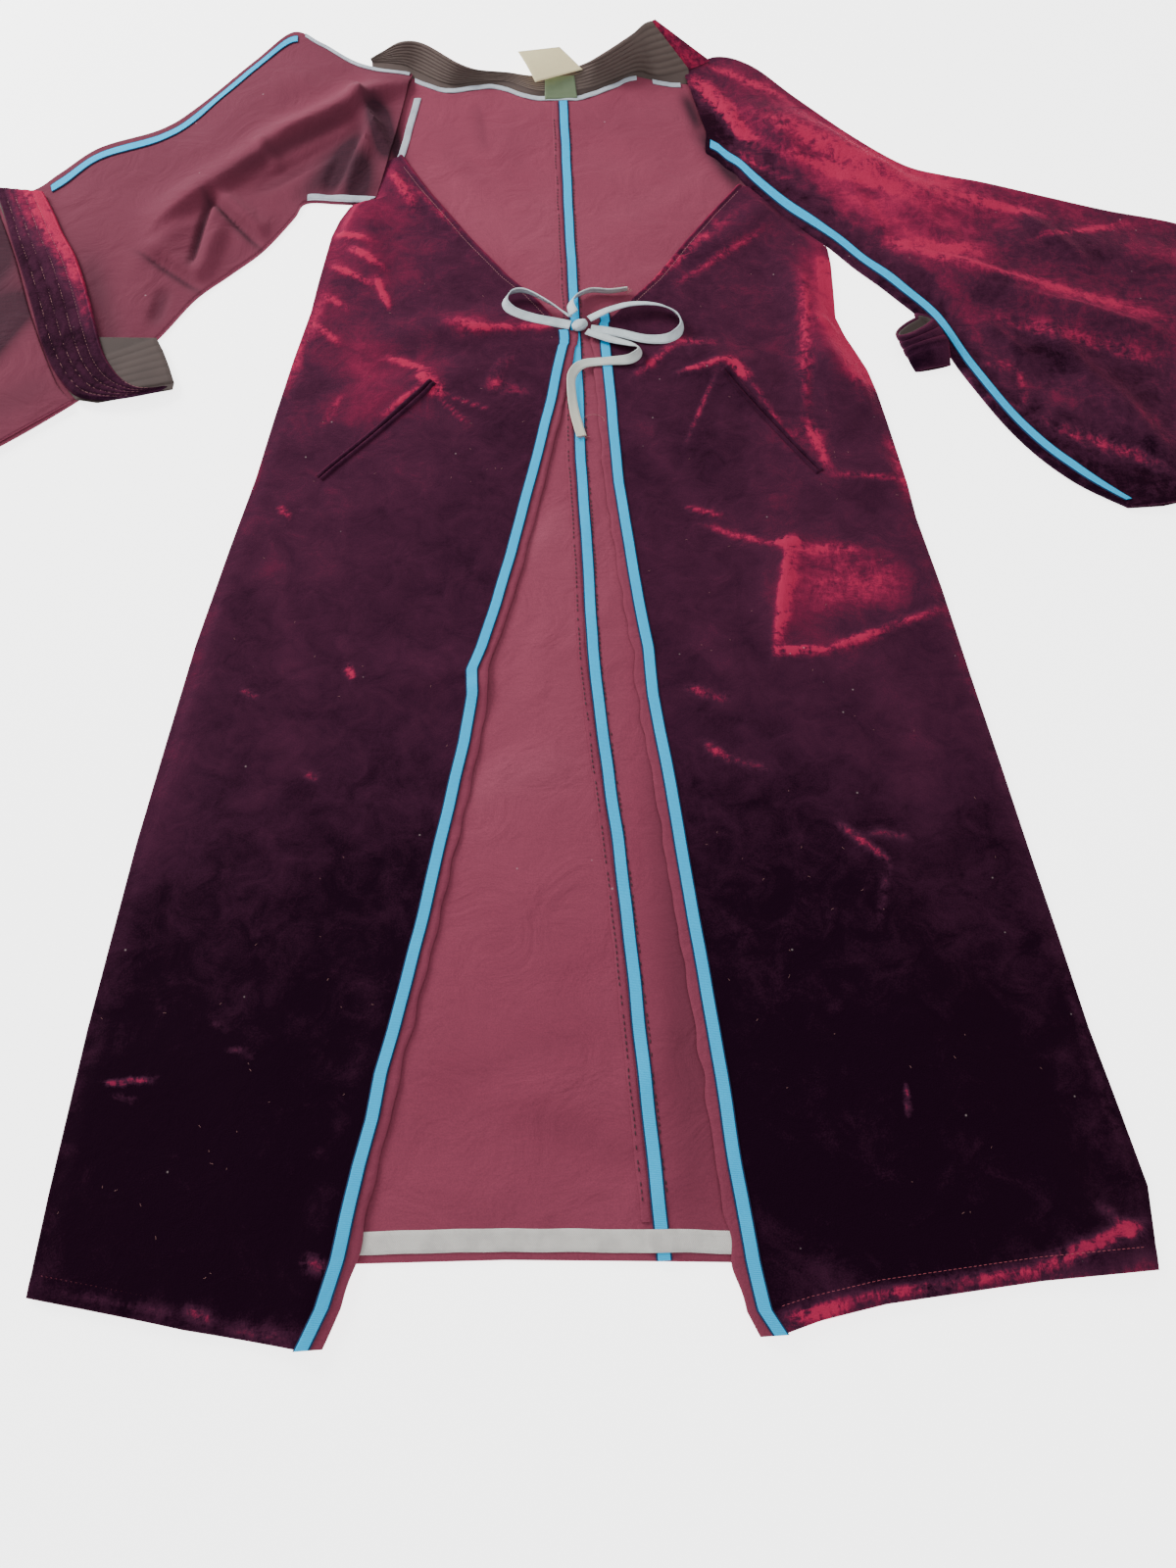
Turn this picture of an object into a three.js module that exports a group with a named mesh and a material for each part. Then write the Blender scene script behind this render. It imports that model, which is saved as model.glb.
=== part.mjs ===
// A floor-length velvet robe laid on its back, fronts tied once at the bust and falling open below.
// Millimetres: x to the right, y from the hem to the neck, z up from the surface that it lies on.
// The sizes below are laid out from the lower end of the centre back seam, and the finished group is
// moved so that its origin is under the middle of the whole robe.
import * as THREE from "three";

// Driving sizes
const VELVET = 1.6;
const TAPE = 1.0;
const SEAM_GAP = 0.3;
const FOLD_GAP = 0.8;
const TAPE_WIDTH = 12.7;
const BINDING_WIDTH = 9;
const HEM_TAPE_WIDTH = 17;
const HEM_TURNING = 6;
const FRONT_ALLOWANCE = 8.5;
const BACK_ALLOWANCE = 8;
const TIE_WIDTH = 11;
const TIE_THICKNESS = 1.6;
const POCKET_LENGTH = 172;
const WELT_WIDTH = 5;
const CHANNEL_RISE = 1.1;
const COLLAR_PADDING = 1.6;

// How finely the pieces are divided
const PANEL_STATIONS = 34;
const FRONT_COLUMNS = 8;
const SLEEVE_STATIONS = 22;
const SLEEVE_TOP_COLUMNS = 10;
const SLEEVE_FLOOR_COLUMNS = 5;

// Levels: back on the surface, fronts on the back
const BACK_TOP = VELVET;
const ON_BACK = BACK_TOP + SEAM_GAP;
const FRONT_UNDER = ON_BACK + TAPE + SEAM_GAP;
const SIDE_ROLL = 18;

// Trims: where the hem tape climbs over the centre back tape, how far the trims stay inside an edge,
// and how far the centre back allowance starts above the hem tape
const CROSSING_HALF = 7.5;
const CROSSING_REACH = 14;
const TRIM_INSET = 0.5;
const ALLOWANCE_START = 6;
const TRIM_STATIONS = 40;
const WELT_STATIONS = 14;
const NECK_BINDING_FROM = -0.97;
const NECK_BINDING_TO = 0.6;
const NECK_BINDING_STATIONS = 36;
const SHOULDER_BINDING = [0.72, 0.79, 0.86, 0.93];
const ARMHOLE_BINDING = [
  { y: 1290, x: -206 }, { y: 1315, x: -201 }, { y: 1340, x: -197 }, { y: 1365, x: -192 },
  { y: 1392, x: -187 },
];

// Side edges of the body, which back and fronts share: x at each y, up the side and the armhole
const LEFT_SIDE = [
  { y: -60, x: -490 }, { y: 3, x: -488 }, { y: 77, x: -481 }, { y: 208, x: -466 },
  { y: 376, x: -442 }, { y: 474, x: -425 }, { y: 581, x: -406 }, { y: 697, x: -380 },
  { y: 785, x: -359 }, { y: 865, x: -344 }, { y: 949, x: -327 }, { y: 1023, x: -310 },
  { y: 1070, x: -303 }, { y: 1151, x: -289 }, { y: 1170, x: -268 }, { y: 1184, x: -238 },
  { y: 1271, x: -226 }, { y: 1334, x: -214 }, { y: 1395, x: -204 }, { y: 1440, x: -195 },
];
const RIGHT_SIDE = [
  { y: -60, x: 379 }, { y: -33, x: 380 }, { y: 27, x: 388 }, { y: 88, x: 381 },
  { y: 153, x: 373 }, { y: 231, x: 367 }, { y: 314, x: 360 }, { y: 403, x: 353 },
  { y: 498, x: 345 }, { y: 602, x: 337 }, { y: 688, x: 328 }, { y: 733, x: 327 },
  { y: 814, x: 321 }, { y: 860, x: 317 }, { y: 893, x: 312 }, { y: 925, x: 302 },
  { y: 946, x: 295 }, { y: 975, x: 289 }, { y: 1015, x: 293 }, { y: 1060, x: 297 },
  { y: 1088, x: 297 }, { y: 1115, x: 275 }, { y: 1158, x: 245 }, { y: 1200, x: 216 },
  { y: 1240, x: 197 }, { y: 1270, x: 183 }, { y: 1340, x: 172 }, { y: 1430, x: 161 },
];

// Centre back seam, and the seam under the tape of each front with the neck edge above it
const CENTRE_BACK = [
  { y: -10, x: 0 }, { y: 66, x: -1 }, { y: 140, x: -3 }, { y: 240, x: -5 },
  { y: 351, x: -9 }, { y: 447, x: -14 }, { y: 551, x: -18 }, { y: 690, x: -15 },
  { y: 786, x: -15 }, { y: 885, x: -11 }, { y: 1029, x: -8 }, { y: 1187, x: -5 },
  { y: 1385, x: 0 },
];
const LEFT_OPENING = [
  { y: -60, x: -282 }, { y: -46, x: -275 }, { y: -19, x: -261 }, { y: 13, x: -251 },
  { y: 82, x: -236 }, { y: 118, x: -226 }, { y: 155, x: -219 }, { y: 193, x: -208 },
  { y: 275, x: -187 }, { y: 362, x: -167 }, { y: 456, x: -145 }, { y: 506, x: -136 },
  { y: 533, x: -136 }, { y: 559, x: -126 }, { y: 613, x: -109 }, { y: 669, x: -93 },
  { y: 728, x: -78 }, { y: 789, x: -62 }, { y: 854, x: -46 }, { y: 921, x: -31 },
  { y: 965, x: -21 }, { y: 985, x: -27 }, { y: 1030, x: -54 }, { y: 1063, x: -81 },
  { y: 1132, x: -125 }, { y: 1211, x: -171 }, { y: 1285, x: -207 },
];
const RIGHT_OPENING = [
  { y: -62, x: 84 }, { y: -42, x: 73 }, { y: -8, x: 68 }, { y: 61, x: 63 },
  { y: 136, x: 60 }, { y: 216, x: 55 }, { y: 302, x: 49 }, { y: 394, x: 44 },
  { y: 494, x: 36 }, { y: 547, x: 36 }, { y: 603, x: 31 }, { y: 660, x: 28 },
  { y: 751, x: 23 }, { y: 849, x: 22 }, { y: 917, x: 21 }, { y: 975, x: 19 },
  { y: 1003, x: 45 }, { y: 1045, x: 84 }, { y: 1091, x: 118 }, { y: 1147, x: 159 },
  { y: 1179, x: 186 }, { y: 1204, x: 206 },
];

// Lower and upper edges of each panel: y at each share of the way from its inner edge to its side
const BACK_LEFT_HEM = [{ u: 0, y: -3 }, { u: 0.25, y: 6 }, { u: 0.5, y: 11 }, { u: 1, y: 4 }];
const BACK_RIGHT_HEM = [{ u: 0, y: -3 }, { u: 0.5, y: -18 }, { u: 1, y: -33 }];
const BACK_LEFT_NECK = [
  { u: 0, y: 1385 }, { u: 0.2, y: 1387 }, { u: 0.36, y: 1409 }, { u: 0.46, y: 1416 },
  { u: 0.74, y: 1406 }, { u: 1, y: 1437 },
];
const BACK_RIGHT_NECK = [
  { u: 0, y: 1385 }, { u: 0.12, y: 1382 }, { u: 0.44, y: 1407 }, { u: 0.58, y: 1423 },
  { u: 0.8, y: 1404 }, { u: 1, y: 1400 },
];
const FRONT_LEFT_HEM = [{ u: 0, y: -47 }, { u: 0.45, y: -27 }, { u: 1, y: 3 }];
const FRONT_RIGHT_HEM = [
  { u: 0, y: -60 }, { u: 0.12, y: -52 }, { u: 0.3, y: -44 }, { u: 0.7, y: -36 }, { u: 1, y: -34 },
];
const FRONT_LEFT_TOP = [{ u: 0, y: 1283 }, { u: 1, y: 1275 }];
const FRONT_RIGHT_TOP = [{ u: 0, y: 1202 }, { u: 1, y: 1199 }];
const LEFT_TAPE_TOP = 962;
const RIGHT_TAPE_TOP = 1000;

// Soft folds: each a ridge about a point, turned by angle, with its half length, half width and height
const FRONT_FOLDS = [
  { x: -175, y: 905, angle: 15, length: 75, width: 24, height: 4 },
  { x: -150, y: 985, angle: 8, length: 95, width: 24, height: 5 },
  { x: -250, y: 1140, angle: 100, length: 65, width: 24, height: 6 },
  { x: -160, y: 522, angle: 170, length: 75, width: 24, height: 4 },
  { x: -330, y: 250, angle: 98, length: 240, width: 50, height: 5 },
  { x: -275, y: -20, angle: 72, length: 90, width: 24, height: 3 },
  { x: 258, y: 955, angle: 97, length: 100, width: 22, height: 12 },
  { x: 285, y: 880, angle: 125, length: 55, width: 20, height: 7 },
  { x: 285, y: 745, angle: 3, length: 60, width: 22, height: 3 },
  { x: 150, y: 915, angle: 155, length: 65, width: 24, height: 4 },
  { x: 175, y: 610, angle: 80, length: 65, width: 24, height: 4 },
  { x: 215, y: 300, angle: 94, length: 260, width: 55, height: 5 },
  { x: 330, y: 10, angle: 112, length: 70, width: 24, height: 4 },
  { x: 190, y: 1120, angle: 40, length: 65, width: 24, height: 6 },
];
const LEFT_SLEEVE_FOLDS = [
  { x: -292, y: 1312, angle: 51, length: 105, width: 25, height: 15 },
  { x: -435, y: 1150, angle: 56, length: 85, width: 24, height: 8 },
  { x: -400, y: 1168, angle: -50, length: 44, width: 10, height: 6 },
  { x: -448, y: 1145, angle: 80, length: 50, width: 12, height: 5 },
  { x: -400, y: 1370, angle: 50, length: 120, width: 40, height: 4 },
];
const RIGHT_SLEEVE_FOLDS = [
  { x: 510, y: 985, angle: -28, length: 150, width: 30, height: 9 },
  { x: 345, y: 1245, angle: -47, length: 120, width: 24, height: 11 },
  { x: 262, y: 1290, angle: -60, length: 60, width: 20, height: 7 },
  { x: 560, y: 830, angle: -62, length: 90, width: 24, height: 6 },
  { x: 640, y: 1040, angle: -20, length: 120, width: 34, height: 5 },
];

// Sleeves: far edge (tx, ty) and near edge (bx, by) at each station from the armhole outwards
const LEFT_SLEEVE = [
  { tx: -195.6, ty: 1440, bx: -242.6, by: 1197 }, { tx: -263, ty: 1468, bx: -284, by: 1203 },
  { tx: -313, ty: 1513, bx: -323, by: 1206 }, { tx: -352, ty: 1536, bx: -337, by: 1180 },
  { tx: -400, ty: 1478, bx: -370, by: 1128 }, { tx: -469, ty: 1388, bx: -406, by: 1091 },
  { tx: -512, ty: 1348, bx: -444, by: 1053 }, { tx: -585, ty: 1318, bx: -482, by: 993 },
  { tx: -632, ty: 1270, bx: -528, by: 938 }, { tx: -680, ty: 1236, bx: -562, by: 906 },
  { tx: -735, ty: 1212, bx: -620, by: 860 }, { tx: -788, ty: 1185, bx: -690, by: 812 },
];
const RIGHT_SLEEVE = [
  { tx: 163.6, ty: 1412, bx: 184.6, by: 1272 }, { tx: 205, ty: 1436, bx: 197, by: 1253 },
  { tx: 250, ty: 1416, bx: 208, by: 1231 }, { tx: 298, ty: 1358, bx: 222, by: 1201 },
  { tx: 358, ty: 1286, bx: 251, by: 1154 }, { tx: 413, ty: 1228, bx: 299, by: 1090 },
  { tx: 460, ty: 1203, bx: 325, by: 1050 }, { tx: 510, ty: 1184, bx: 357, by: 1007 },
  { tx: 577, ty: 1155, bx: 392, by: 953 }, { tx: 643, ty: 1127, bx: 417, by: 880 },
  { tx: 719, ty: 1100, bx: 460, by: 790 }, { tx: 770, ty: 1066, bx: 508, by: 726 },
  { tx: 800, ty: 1020, bx: 560, by: 676 },
];
const SLEEVE_EDGE_TOP = 2 * VELVET + 0.8;
const SLEEVE_PUFF = 3.5;
const SLEEVE_EDGE_SHARE = 0.16;
const LEFT_SLEEVE_END_TOP = 5.6;
const LEFT_SETTLE_FROM = 0.56;
const LEFT_SETTLE_TO = 0.68;
const RIGHT_SLEEVE_LIFT = VELVET + 0.6;
const RIGHT_LIFT_FROM = 0.42;
const RIGHT_LIFT_TO = 0.56;

// Left cuff, turned back over the sleeve: outer (seam) edge and inner (mouth) edge at each section
const LEFT_CUFF = [
  { ox: -702, oy: 1246, ix: -640, iy: 1236 }, { ox: -681, oy: 1200, ix: -622, iy: 1198 },
  { ox: -666, oy: 1156, ix: -605, iy: 1163 }, { ox: -644, oy: 1096, ix: -584, iy: 1118 },
  { ox: -622, oy: 1030, ix: -566, iy: 1066 }, { ox: -605, oy: 980, ix: -551, iy: 1015 },
  { ox: -583, oy: 935, ix: -533, iy: 955 }, { ox: -560, oy: 903, ix: -492, iy: 903 },
];
const LEFT_CUFF_FACING = [
  { ox: -700, oy: 1243, ix: -642, iy: 1233 }, { ox: -664, oy: 1156, ix: -608, iy: 1161 },
  { ox: -642, oy: 1096, ix: -587, iy: 1116 }, { ox: -620, oy: 1030, ix: -566, iy: 1066 },
  { ox: -603, oy: 980, ix: -533, iy: 1005 }, { ox: -581, oy: 937, ix: -481, iy: 990 },
  { ox: -560, oy: 907, ix: -455, iy: 921 },
];
const LEFT_TURNBACK = [
  { ox: -800, oy: 1196, ix: -704, iy: 1243 }, { ox: -786, oy: 1130, ix: -668, iy: 1153 },
  { ox: -768, oy: 1050, ix: -647, iy: 1093 }, { ox: -748, oy: 960, ix: -625, iy: 1028 },
  { ox: -730, oy: 880, ix: -586, iy: 932 }, { ox: -706, oy: 796, ix: -564, iy: 901 },
];
const CUFF_CHANNELS = 5;
const CUFF_THICKNESS = 2.4;

// Right cuff: a flattened roll that lies beside the sleeve, its mouth towards the body
const RIGHT_CUFF = { mouthX: 350, seamX: 387, y: 925, halfWidth: 36, halfHeight: 11, slant: -0.16 };
const RIGHT_CUFF_CHANNELS = 4;

// Stand collar: neck seam (x, y, z) and top edge (topX, topY, topZ) at each section
const COLLAR = [
  { x: -216, y: 1461, z: 9.2, topX: -222, topY: 1468, topZ: 22.2 },
  { x: -203, y: 1454, z: 7.2, topX: -205, topY: 1463, topZ: 31.2 },
  { x: -186, y: 1444, z: 4.2, topX: -176, topY: 1456, topZ: 32.2 },
  { x: -148, y: 1418, z: 3.2, topX: -132, topY: 1424, topZ: 25.2 },
  { x: -112, y: 1419, z: 3.2, topX: -106, topY: 1428, topZ: 13.2 },
  { x: -72, y: 1416, z: 3.2, topX: -70, topY: 1426, topZ: 9.2 },
  { x: -36, y: 1395, z: 3.2, topX: -35, topY: 1416, topZ: 9.2 },
  { x: 0, y: 1391, z: 3.2, topX: -2, topY: 1422, topZ: 9.2 },
  { x: 30, y: 1394, z: 3.2, topX: 23, topY: 1421, topZ: 17.2 },
  { x: 62, y: 1410, z: 3.2, topX: 53, topY: 1418, topZ: 33.2 },
  { x: 100, y: 1427, z: 3.2, topX: 88, topY: 1438, topZ: 41.2 },
  { x: 128, y: 1414, z: 4.2, topX: 108, topY: 1456, topZ: 45.2 },
  { x: 152, y: 1409, z: 6.2, topX: 124, topY: 1462, topZ: 47.2 },
];
const COLLAR_CHANNELS = 8;
const COLLAR_STATIONS = 22;
const COLLAR_OVERHANG = 0.07;

// Tie: routes of the two loops and the two free ends, in the order they leave the knot
const KNOT = { x: -4, y: 976, z: 9, radius: 11.2, shareAcross: 0.8, shareUp: 0.5, turn: 35 };
const LOOP_LEFT = [
  { x: -14, y: 985, z: 10 }, { x: -36, y: 1004, z: 12 }, { x: -62, y: 1023, z: 13 },
  { x: -79, y: 1025, z: 11 }, { x: -87, y: 1013, z: 9 }, { x: -78, y: 1000, z: 8 },
  { x: -56, y: 990, z: 7 }, { x: -34, y: 983, z: 7 }, { x: -15, y: 976, z: 8 },
];
const LOOP_RIGHT = [
  { x: 7, y: 982, z: 10.4 }, { x: 30, y: 992, z: 12.4 }, { x: 58, y: 998, z: 13.4 },
  { x: 88, y: 994, z: 12.4 }, { x: 107, y: 980, z: 9.4 }, { x: 110, y: 962, z: 7.4 },
  { x: 96, y: 949, z: 7.4 }, { x: 70, y: 950, z: 7.4 }, { x: 38, y: 962, z: 7.4 },
  { x: 8, y: 970, z: 7.4 },
];
const END_UPPER = [
  { x: -10, y: 988, z: 12.6 }, { x: -13, y: 1003, z: 10.6 }, { x: -6, y: 1018, z: 7 },
  { x: 12, y: 1029, z: 4.6 }, { x: 34, y: 1027, z: 4 }, { x: 54, y: 1028, z: 5.4 },
];
const END_LOWER = [
  { x: 3, y: 964, z: 9.4 }, { x: 28, y: 951, z: 9.4 }, { x: 52, y: 940, z: 8.8 },
  { x: 60, y: 928, z: 8.6 }, { x: 48, y: 919, z: 8.4 }, { x: 22, y: 920, z: 7.8 },
  { x: -4, y: 918, z: 6.6 }, { x: -17, y: 902, z: 6.2 }, { x: -19, y: 876, z: 5.8 },
  { x: -17, y: 848, z: 4.4 }, { x: -12, y: 818, z: 4 },
];

// Neck labels, each by its corners from the near left one round: one over the neck seam, one above it
const LABEL_LOWER = [
  { x: -24, y: 1378, z: 3.2 }, { x: 18, y: 1378, z: 3.2 }, { x: 16, y: 1410, z: 12.2 },
  { x: -22, y: 1410, z: 12.2 },
];
const LABEL_UPPER = [
  { x: -35, y: 1392, z: 17.5 }, { x: 27, y: 1413, z: 17.5 }, { x: -1, y: 1442, z: 29.5 },
  { x: -55, y: 1436, z: 29.5 },
];

const { clamp, lerp, smoothstep, degToRad } = THREE.MathUtils;

// Value of a table's named column at a place between its rows, along a smooth curve through them.
function smoothColumn(rows, name, t) {
  const place = clamp(t, 0, 1) * (rows.length - 1);
  const i = Math.min(Math.floor(place), rows.length - 2);
  const f = place - i;
  const value = (k) => rows[clamp(k, 0, rows.length - 1)][name];
  const [a, b, c, d] = [value(i - 1), value(i), value(i + 1), value(i + 2)];
  const bend = 2 * a - 5 * b + 4 * c - d;
  const twist = 3 * b - a - 3 * c + d;
  return 0.5 * (2 * b + (c - a) * f + bend * f * f + twist * f * f * f);
}

// Value of one column read against another that only grows, in straight steps.
function lookUp(rows, key, name, at) {
  let i = 0;
  while (i < rows.length - 2 && rows[i + 1][key] < at) i += 1;
  const share = (at - rows[i][key]) / (rows[i + 1][key] - rows[i][key]);
  return lerp(rows[i][name], rows[i + 1][name], share);
}

// Height that a table of soft folds adds at a place.
function foldRise(folds, x, y) {
  let rise = 0;
  for (const fold of folds) {
    const turn = degToRad(fold.angle);
    const dx = x - fold.x;
    const dy = y - fold.y;
    const along = (dx * Math.cos(turn) + dy * Math.sin(turn)) / fold.length;
    const across = (dy * Math.cos(turn) - dx * Math.sin(turn)) / fold.width;
    rise += fold.height * Math.exp(-along * along - across * across);
  }
  return rise;
}

// Height of a grid of points over a place, on the flat triangles between them.
function heightOn(grid, x, y) {
  const place = new THREE.Vector3(x, y, 0);
  const share = new THREE.Vector3();
  const flat = (p) => new THREE.Vector3(p.x, p.y, 0);
  for (let k = 0; k < grid.length - 1; k += 1) {
    for (let i = 0; i < grid[k].length - 1; i += 1) {
      const corners = [grid[k][i], grid[k][i + 1], grid[k + 1][i + 1], grid[k + 1][i]];
      for (const [a, b, c] of [[0, 1, 2], [0, 2, 3]].map((pick) => pick.map((n) => corners[n]))) {
        if (!THREE.Triangle.getBarycoord(place, flat(a), flat(b), flat(c), share)) continue;
        if (Math.min(share.x, share.y, share.z) < -1e-6) continue;
        return share.x * a.z + share.y * b.z + share.z * c.z;
      }
    }
  }
  throw new Error("no cloth under " + x.toFixed(0) + ", " + y.toFixed(0));
}

// A closed solid from shared points and triangles, turned so that its faces point out.
function closedSolid(points, faces) {
  let volume = 0;
  for (let i = 0; i < faces.length; i += 3) {
    const [a, b, c] = [points[faces[i]], points[faces[i + 1]], points[faces[i + 2]]];
    volume += a.dot(new THREE.Vector3().crossVectors(b, c));
  }
  if (volume < 0) faces.reverse();
  const geometry = new THREE.BufferGeometry().setFromPoints(points);
  geometry.setIndex(faces);
  geometry.computeVertexNormals();
  return geometry;
}

// A wall between an upper and a lower grid of points of one size, with a rim all round.
function wall(upper, lower) {
  const rows = upper.length;
  const columns = upper[0].length;
  const half = rows * columns;
  const at = (k, i) => k * columns + i;
  const faces = [];
  const quad = (a, b, c, d) => faces.push(a, b, c, a, c, d);
  for (let k = 0; k < rows - 1; k += 1) {
    for (let i = 0; i < columns - 1; i += 1) {
      quad(at(k, i), at(k, i + 1), at(k + 1, i + 1), at(k + 1, i));
      quad(half + at(k, i), half + at(k + 1, i), half + at(k + 1, i + 1), half + at(k, i + 1));
    }
    const far = columns - 1;
    quad(at(k, 0), at(k + 1, 0), half + at(k + 1, 0), half + at(k, 0));
    quad(at(k + 1, far), at(k, far), half + at(k, far), half + at(k + 1, far));
  }
  for (let i = 0; i < columns - 1; i += 1) {
    const last = rows - 1;
    quad(at(0, i + 1), at(0, i), half + at(0, i), half + at(0, i + 1));
    quad(at(last, i), at(last, i + 1), half + at(last, i + 1), half + at(last, i));
  }
  return closedSolid([...upper.flat(), ...lower.flat()], faces);
}

// Points over a plan at the height that under(x, y) gives.
const raised = (plan, under) => plan.map((row) => row.map(([x, y]) => new THREE.Vector3(x, y, under(x, y))));

// A wall of one thickness over a grid of plan points, lying at the height that under(x, y) gives.
function layer(plan, under, thickness) {
  const lower = raised(plan, under);
  const upper = lower.map((row) => row.map((p) => new THREE.Vector3(p.x, p.y, p.z + thickness)));
  return wall(upper, lower);
}

// A tube wall through closed rings: outer and inner rings of one size, open at both ends.
function ringedTube(outer, inner) {
  const stations = outer.length;
  const around = outer[0].length;
  const half = stations * around;
  const at = (k, i) => k * around + (i % around);
  const faces = [];
  const quad = (a, b, c, d) => faces.push(a, b, c, a, c, d);
  for (let i = 0; i < around; i += 1) {
    for (let k = 0; k < stations - 1; k += 1) {
      quad(at(k, i), at(k, i + 1), at(k + 1, i + 1), at(k + 1, i));
      quad(half + at(k, i), half + at(k + 1, i), half + at(k + 1, i + 1), half + at(k, i + 1));
    }
    const last = stations - 1;
    quad(at(0, i + 1), at(0, i), half + at(0, i), half + at(0, i + 1));
    quad(at(last, i), at(last, i + 1), half + at(last, i + 1), half + at(last, i));
  }
  return closedSolid([...outer.flat(), ...inner.flat()], faces);
}

const robe = new THREE.Group();

const FINISH = {
  velvet: { color: 0x5a1028, roughness: 0.75 },
  wrongSide: { color: 0x7a3a48, roughness: 0.85 },
  blueTape: { color: 0x3fb8e0, roughness: 0.7 },
  paleBinding: { color: 0xc3ccd4, roughness: 0.8 },
  hemTape: { color: 0xd8d4cc, roughness: 0.85 },
  brownFacing: { color: 0x4d3d39, roughness: 0.8 },
  creamLabel: { color: 0xe0d6ae, roughness: 0.85 },
  greenLabel: { color: 0x6d8560, roughness: 0.85 },
};

function add(name, geometry, finish) {
  const material = new THREE.MeshStandardMaterial({ metalness: 0, ...FINISH[finish] });
  const mesh = new THREE.Mesh(geometry, material);
  mesh.name = name;
  robe.add(mesh);
}

// Body panels

const leftSide = (y) => lookUp(LEFT_SIDE, "y", "x", y);
const rightSide = (y) => lookUp(RIGHT_SIDE, "y", "x", y);
const centreBack = (y) => lookUp(CENTRE_BACK, "y", "x", y);
const leftOpening = (y) => lookUp(LEFT_OPENING, "y", "x", y);
const rightOpening = (y) => lookUp(RIGHT_OPENING, "y", "x", y);

// Plan points of a panel: each column runs from the hem to the top edge at a share of the way from
// the inner edge to the side, or at a set distance from one of the two.
function panelPlan({ inner, side, hem, top, seam, shares }) {
  const plan = [];
  for (let k = 0; k <= PANEL_STATIONS; k += 1) {
    const row = shares.map(({ share, fromInner, fromSide }) => {
      const y = lerp(lookUp(hem, "u", "y", share), lookUp(top, "u", "y", share), k / PANEL_STATIONS);
      const start = inner(y) + seam;
      const end = side(y);
      const out = Math.sign(end - start);
      if (fromInner !== undefined) return [start + out * fromInner, y];
      const x = lerp(start, end, share);
      return [fromSide === undefined ? x : end - out * Math.min(fromSide, Math.abs(end - start) / 3), y];
    });
    plan.push(row);
  }
  return plan;
}

function backHem(x) {
  if (x < 0) return lookUp(BACK_LEFT_HEM, "u", "y", x / leftSide(0));
  return lookUp(BACK_RIGHT_HEM, "u", "y", x / rightSide(0));
}

// Underside of a front: over the back with its folds, and down to the back at the side seam.
function frontUnder(x, y) {
  const toSide = Math.min(x - leftSide(y), rightSide(y) - x);
  const settled = smoothstep(toSide, 0, SIDE_ROLL);
  return lerp(ON_BACK, FRONT_UNDER, settled) + foldRise(FRONT_FOLDS, x, y) * settled;
}

function addBack() {
  const halves = [
    { name: "back_left", side: leftSide, hem: BACK_LEFT_HEM, top: BACK_LEFT_NECK, seam: -SEAM_GAP / 2 },
    { name: "back_right", side: rightSide, hem: BACK_RIGHT_HEM, top: BACK_RIGHT_NECK, seam: SEAM_GAP / 2 },
  ];
  const shares = [0, 0.2, 0.36, 0.58, 0.8, 1].map((share) => ({ share }));
  for (const { name, side, hem, top, seam } of halves) {
    const plan = panelPlan({ inner: centreBack, side, hem, top, seam, shares });
    add(name, layer(plan, () => 0, VELVET), "wrongSide");
  }
}

const frontPlans = {};

function addFronts() {
  const halfTape = TAPE_WIDTH / 2;
  const fronts = [
    { name: "left", inner: leftOpening, side: leftSide, hem: FRONT_LEFT_HEM, top: FRONT_LEFT_TOP, sign: -1 },
    { name: "right", inner: rightOpening, side: rightSide, hem: FRONT_RIGHT_HEM, top: FRONT_RIGHT_TOP,
      sign: 1 },
  ];
  for (const { name, inner, side, hem, top, sign } of fronts) {
    const seam = (sign * SEAM_GAP) / 2;
    const shares = [{ share: 0 }, { share: 0, fromInner: halfTape }];
    for (let i = 1; i < FRONT_COLUMNS; i += 1) shares.push({ share: (i - 0.3) / FRONT_COLUMNS });
    shares.push({ share: 1, fromSide: SIDE_ROLL }, { share: 1 });
    const plan = panelPlan({ inner, side, hem, top, seam, shares });
    frontPlans[name] = plan;
    add("front_" + name, layer(plan, frontUnder, VELVET), "velvet");
  }
}

// The front's tape lies over the seam between the velvet and the strip of allowance beyond it.
function addFrontEdges() {
  const sides = [
    { name: "left", out: 1, tapeTop: LEFT_TAPE_TOP },
    { name: "right", out: -1, tapeTop: RIGHT_TAPE_TOP },
  ];
  for (const { name, out, tapeTop } of sides) {
    const rows = frontPlans[name].filter((row) => row[0][1] <= tapeTop);
    const shift = (point, reach) => [point[0] + out * reach, point[1]];
    const strip = rows.map((row) => [
      shift(row[0], SEAM_GAP),
      shift(row[0], SEAM_GAP + TAPE_WIDTH / 2),
      shift(row[0], SEAM_GAP + TAPE_WIDTH / 2 + FRONT_ALLOWANCE),
    ]);
    add("allowance_front_" + name, layer(strip, frontUnder, VELVET), "wrongSide");
    const tape = rows.map((row, k) => [row[1], row[0], strip[k][0], strip[k][1]]);
    const onFront = (x, y) => frontUnder(x, y) + VELVET + SEAM_GAP;
    add("tape_front_" + name, layer(tape, onFront, TAPE), "blueTape");
  }
}

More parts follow.
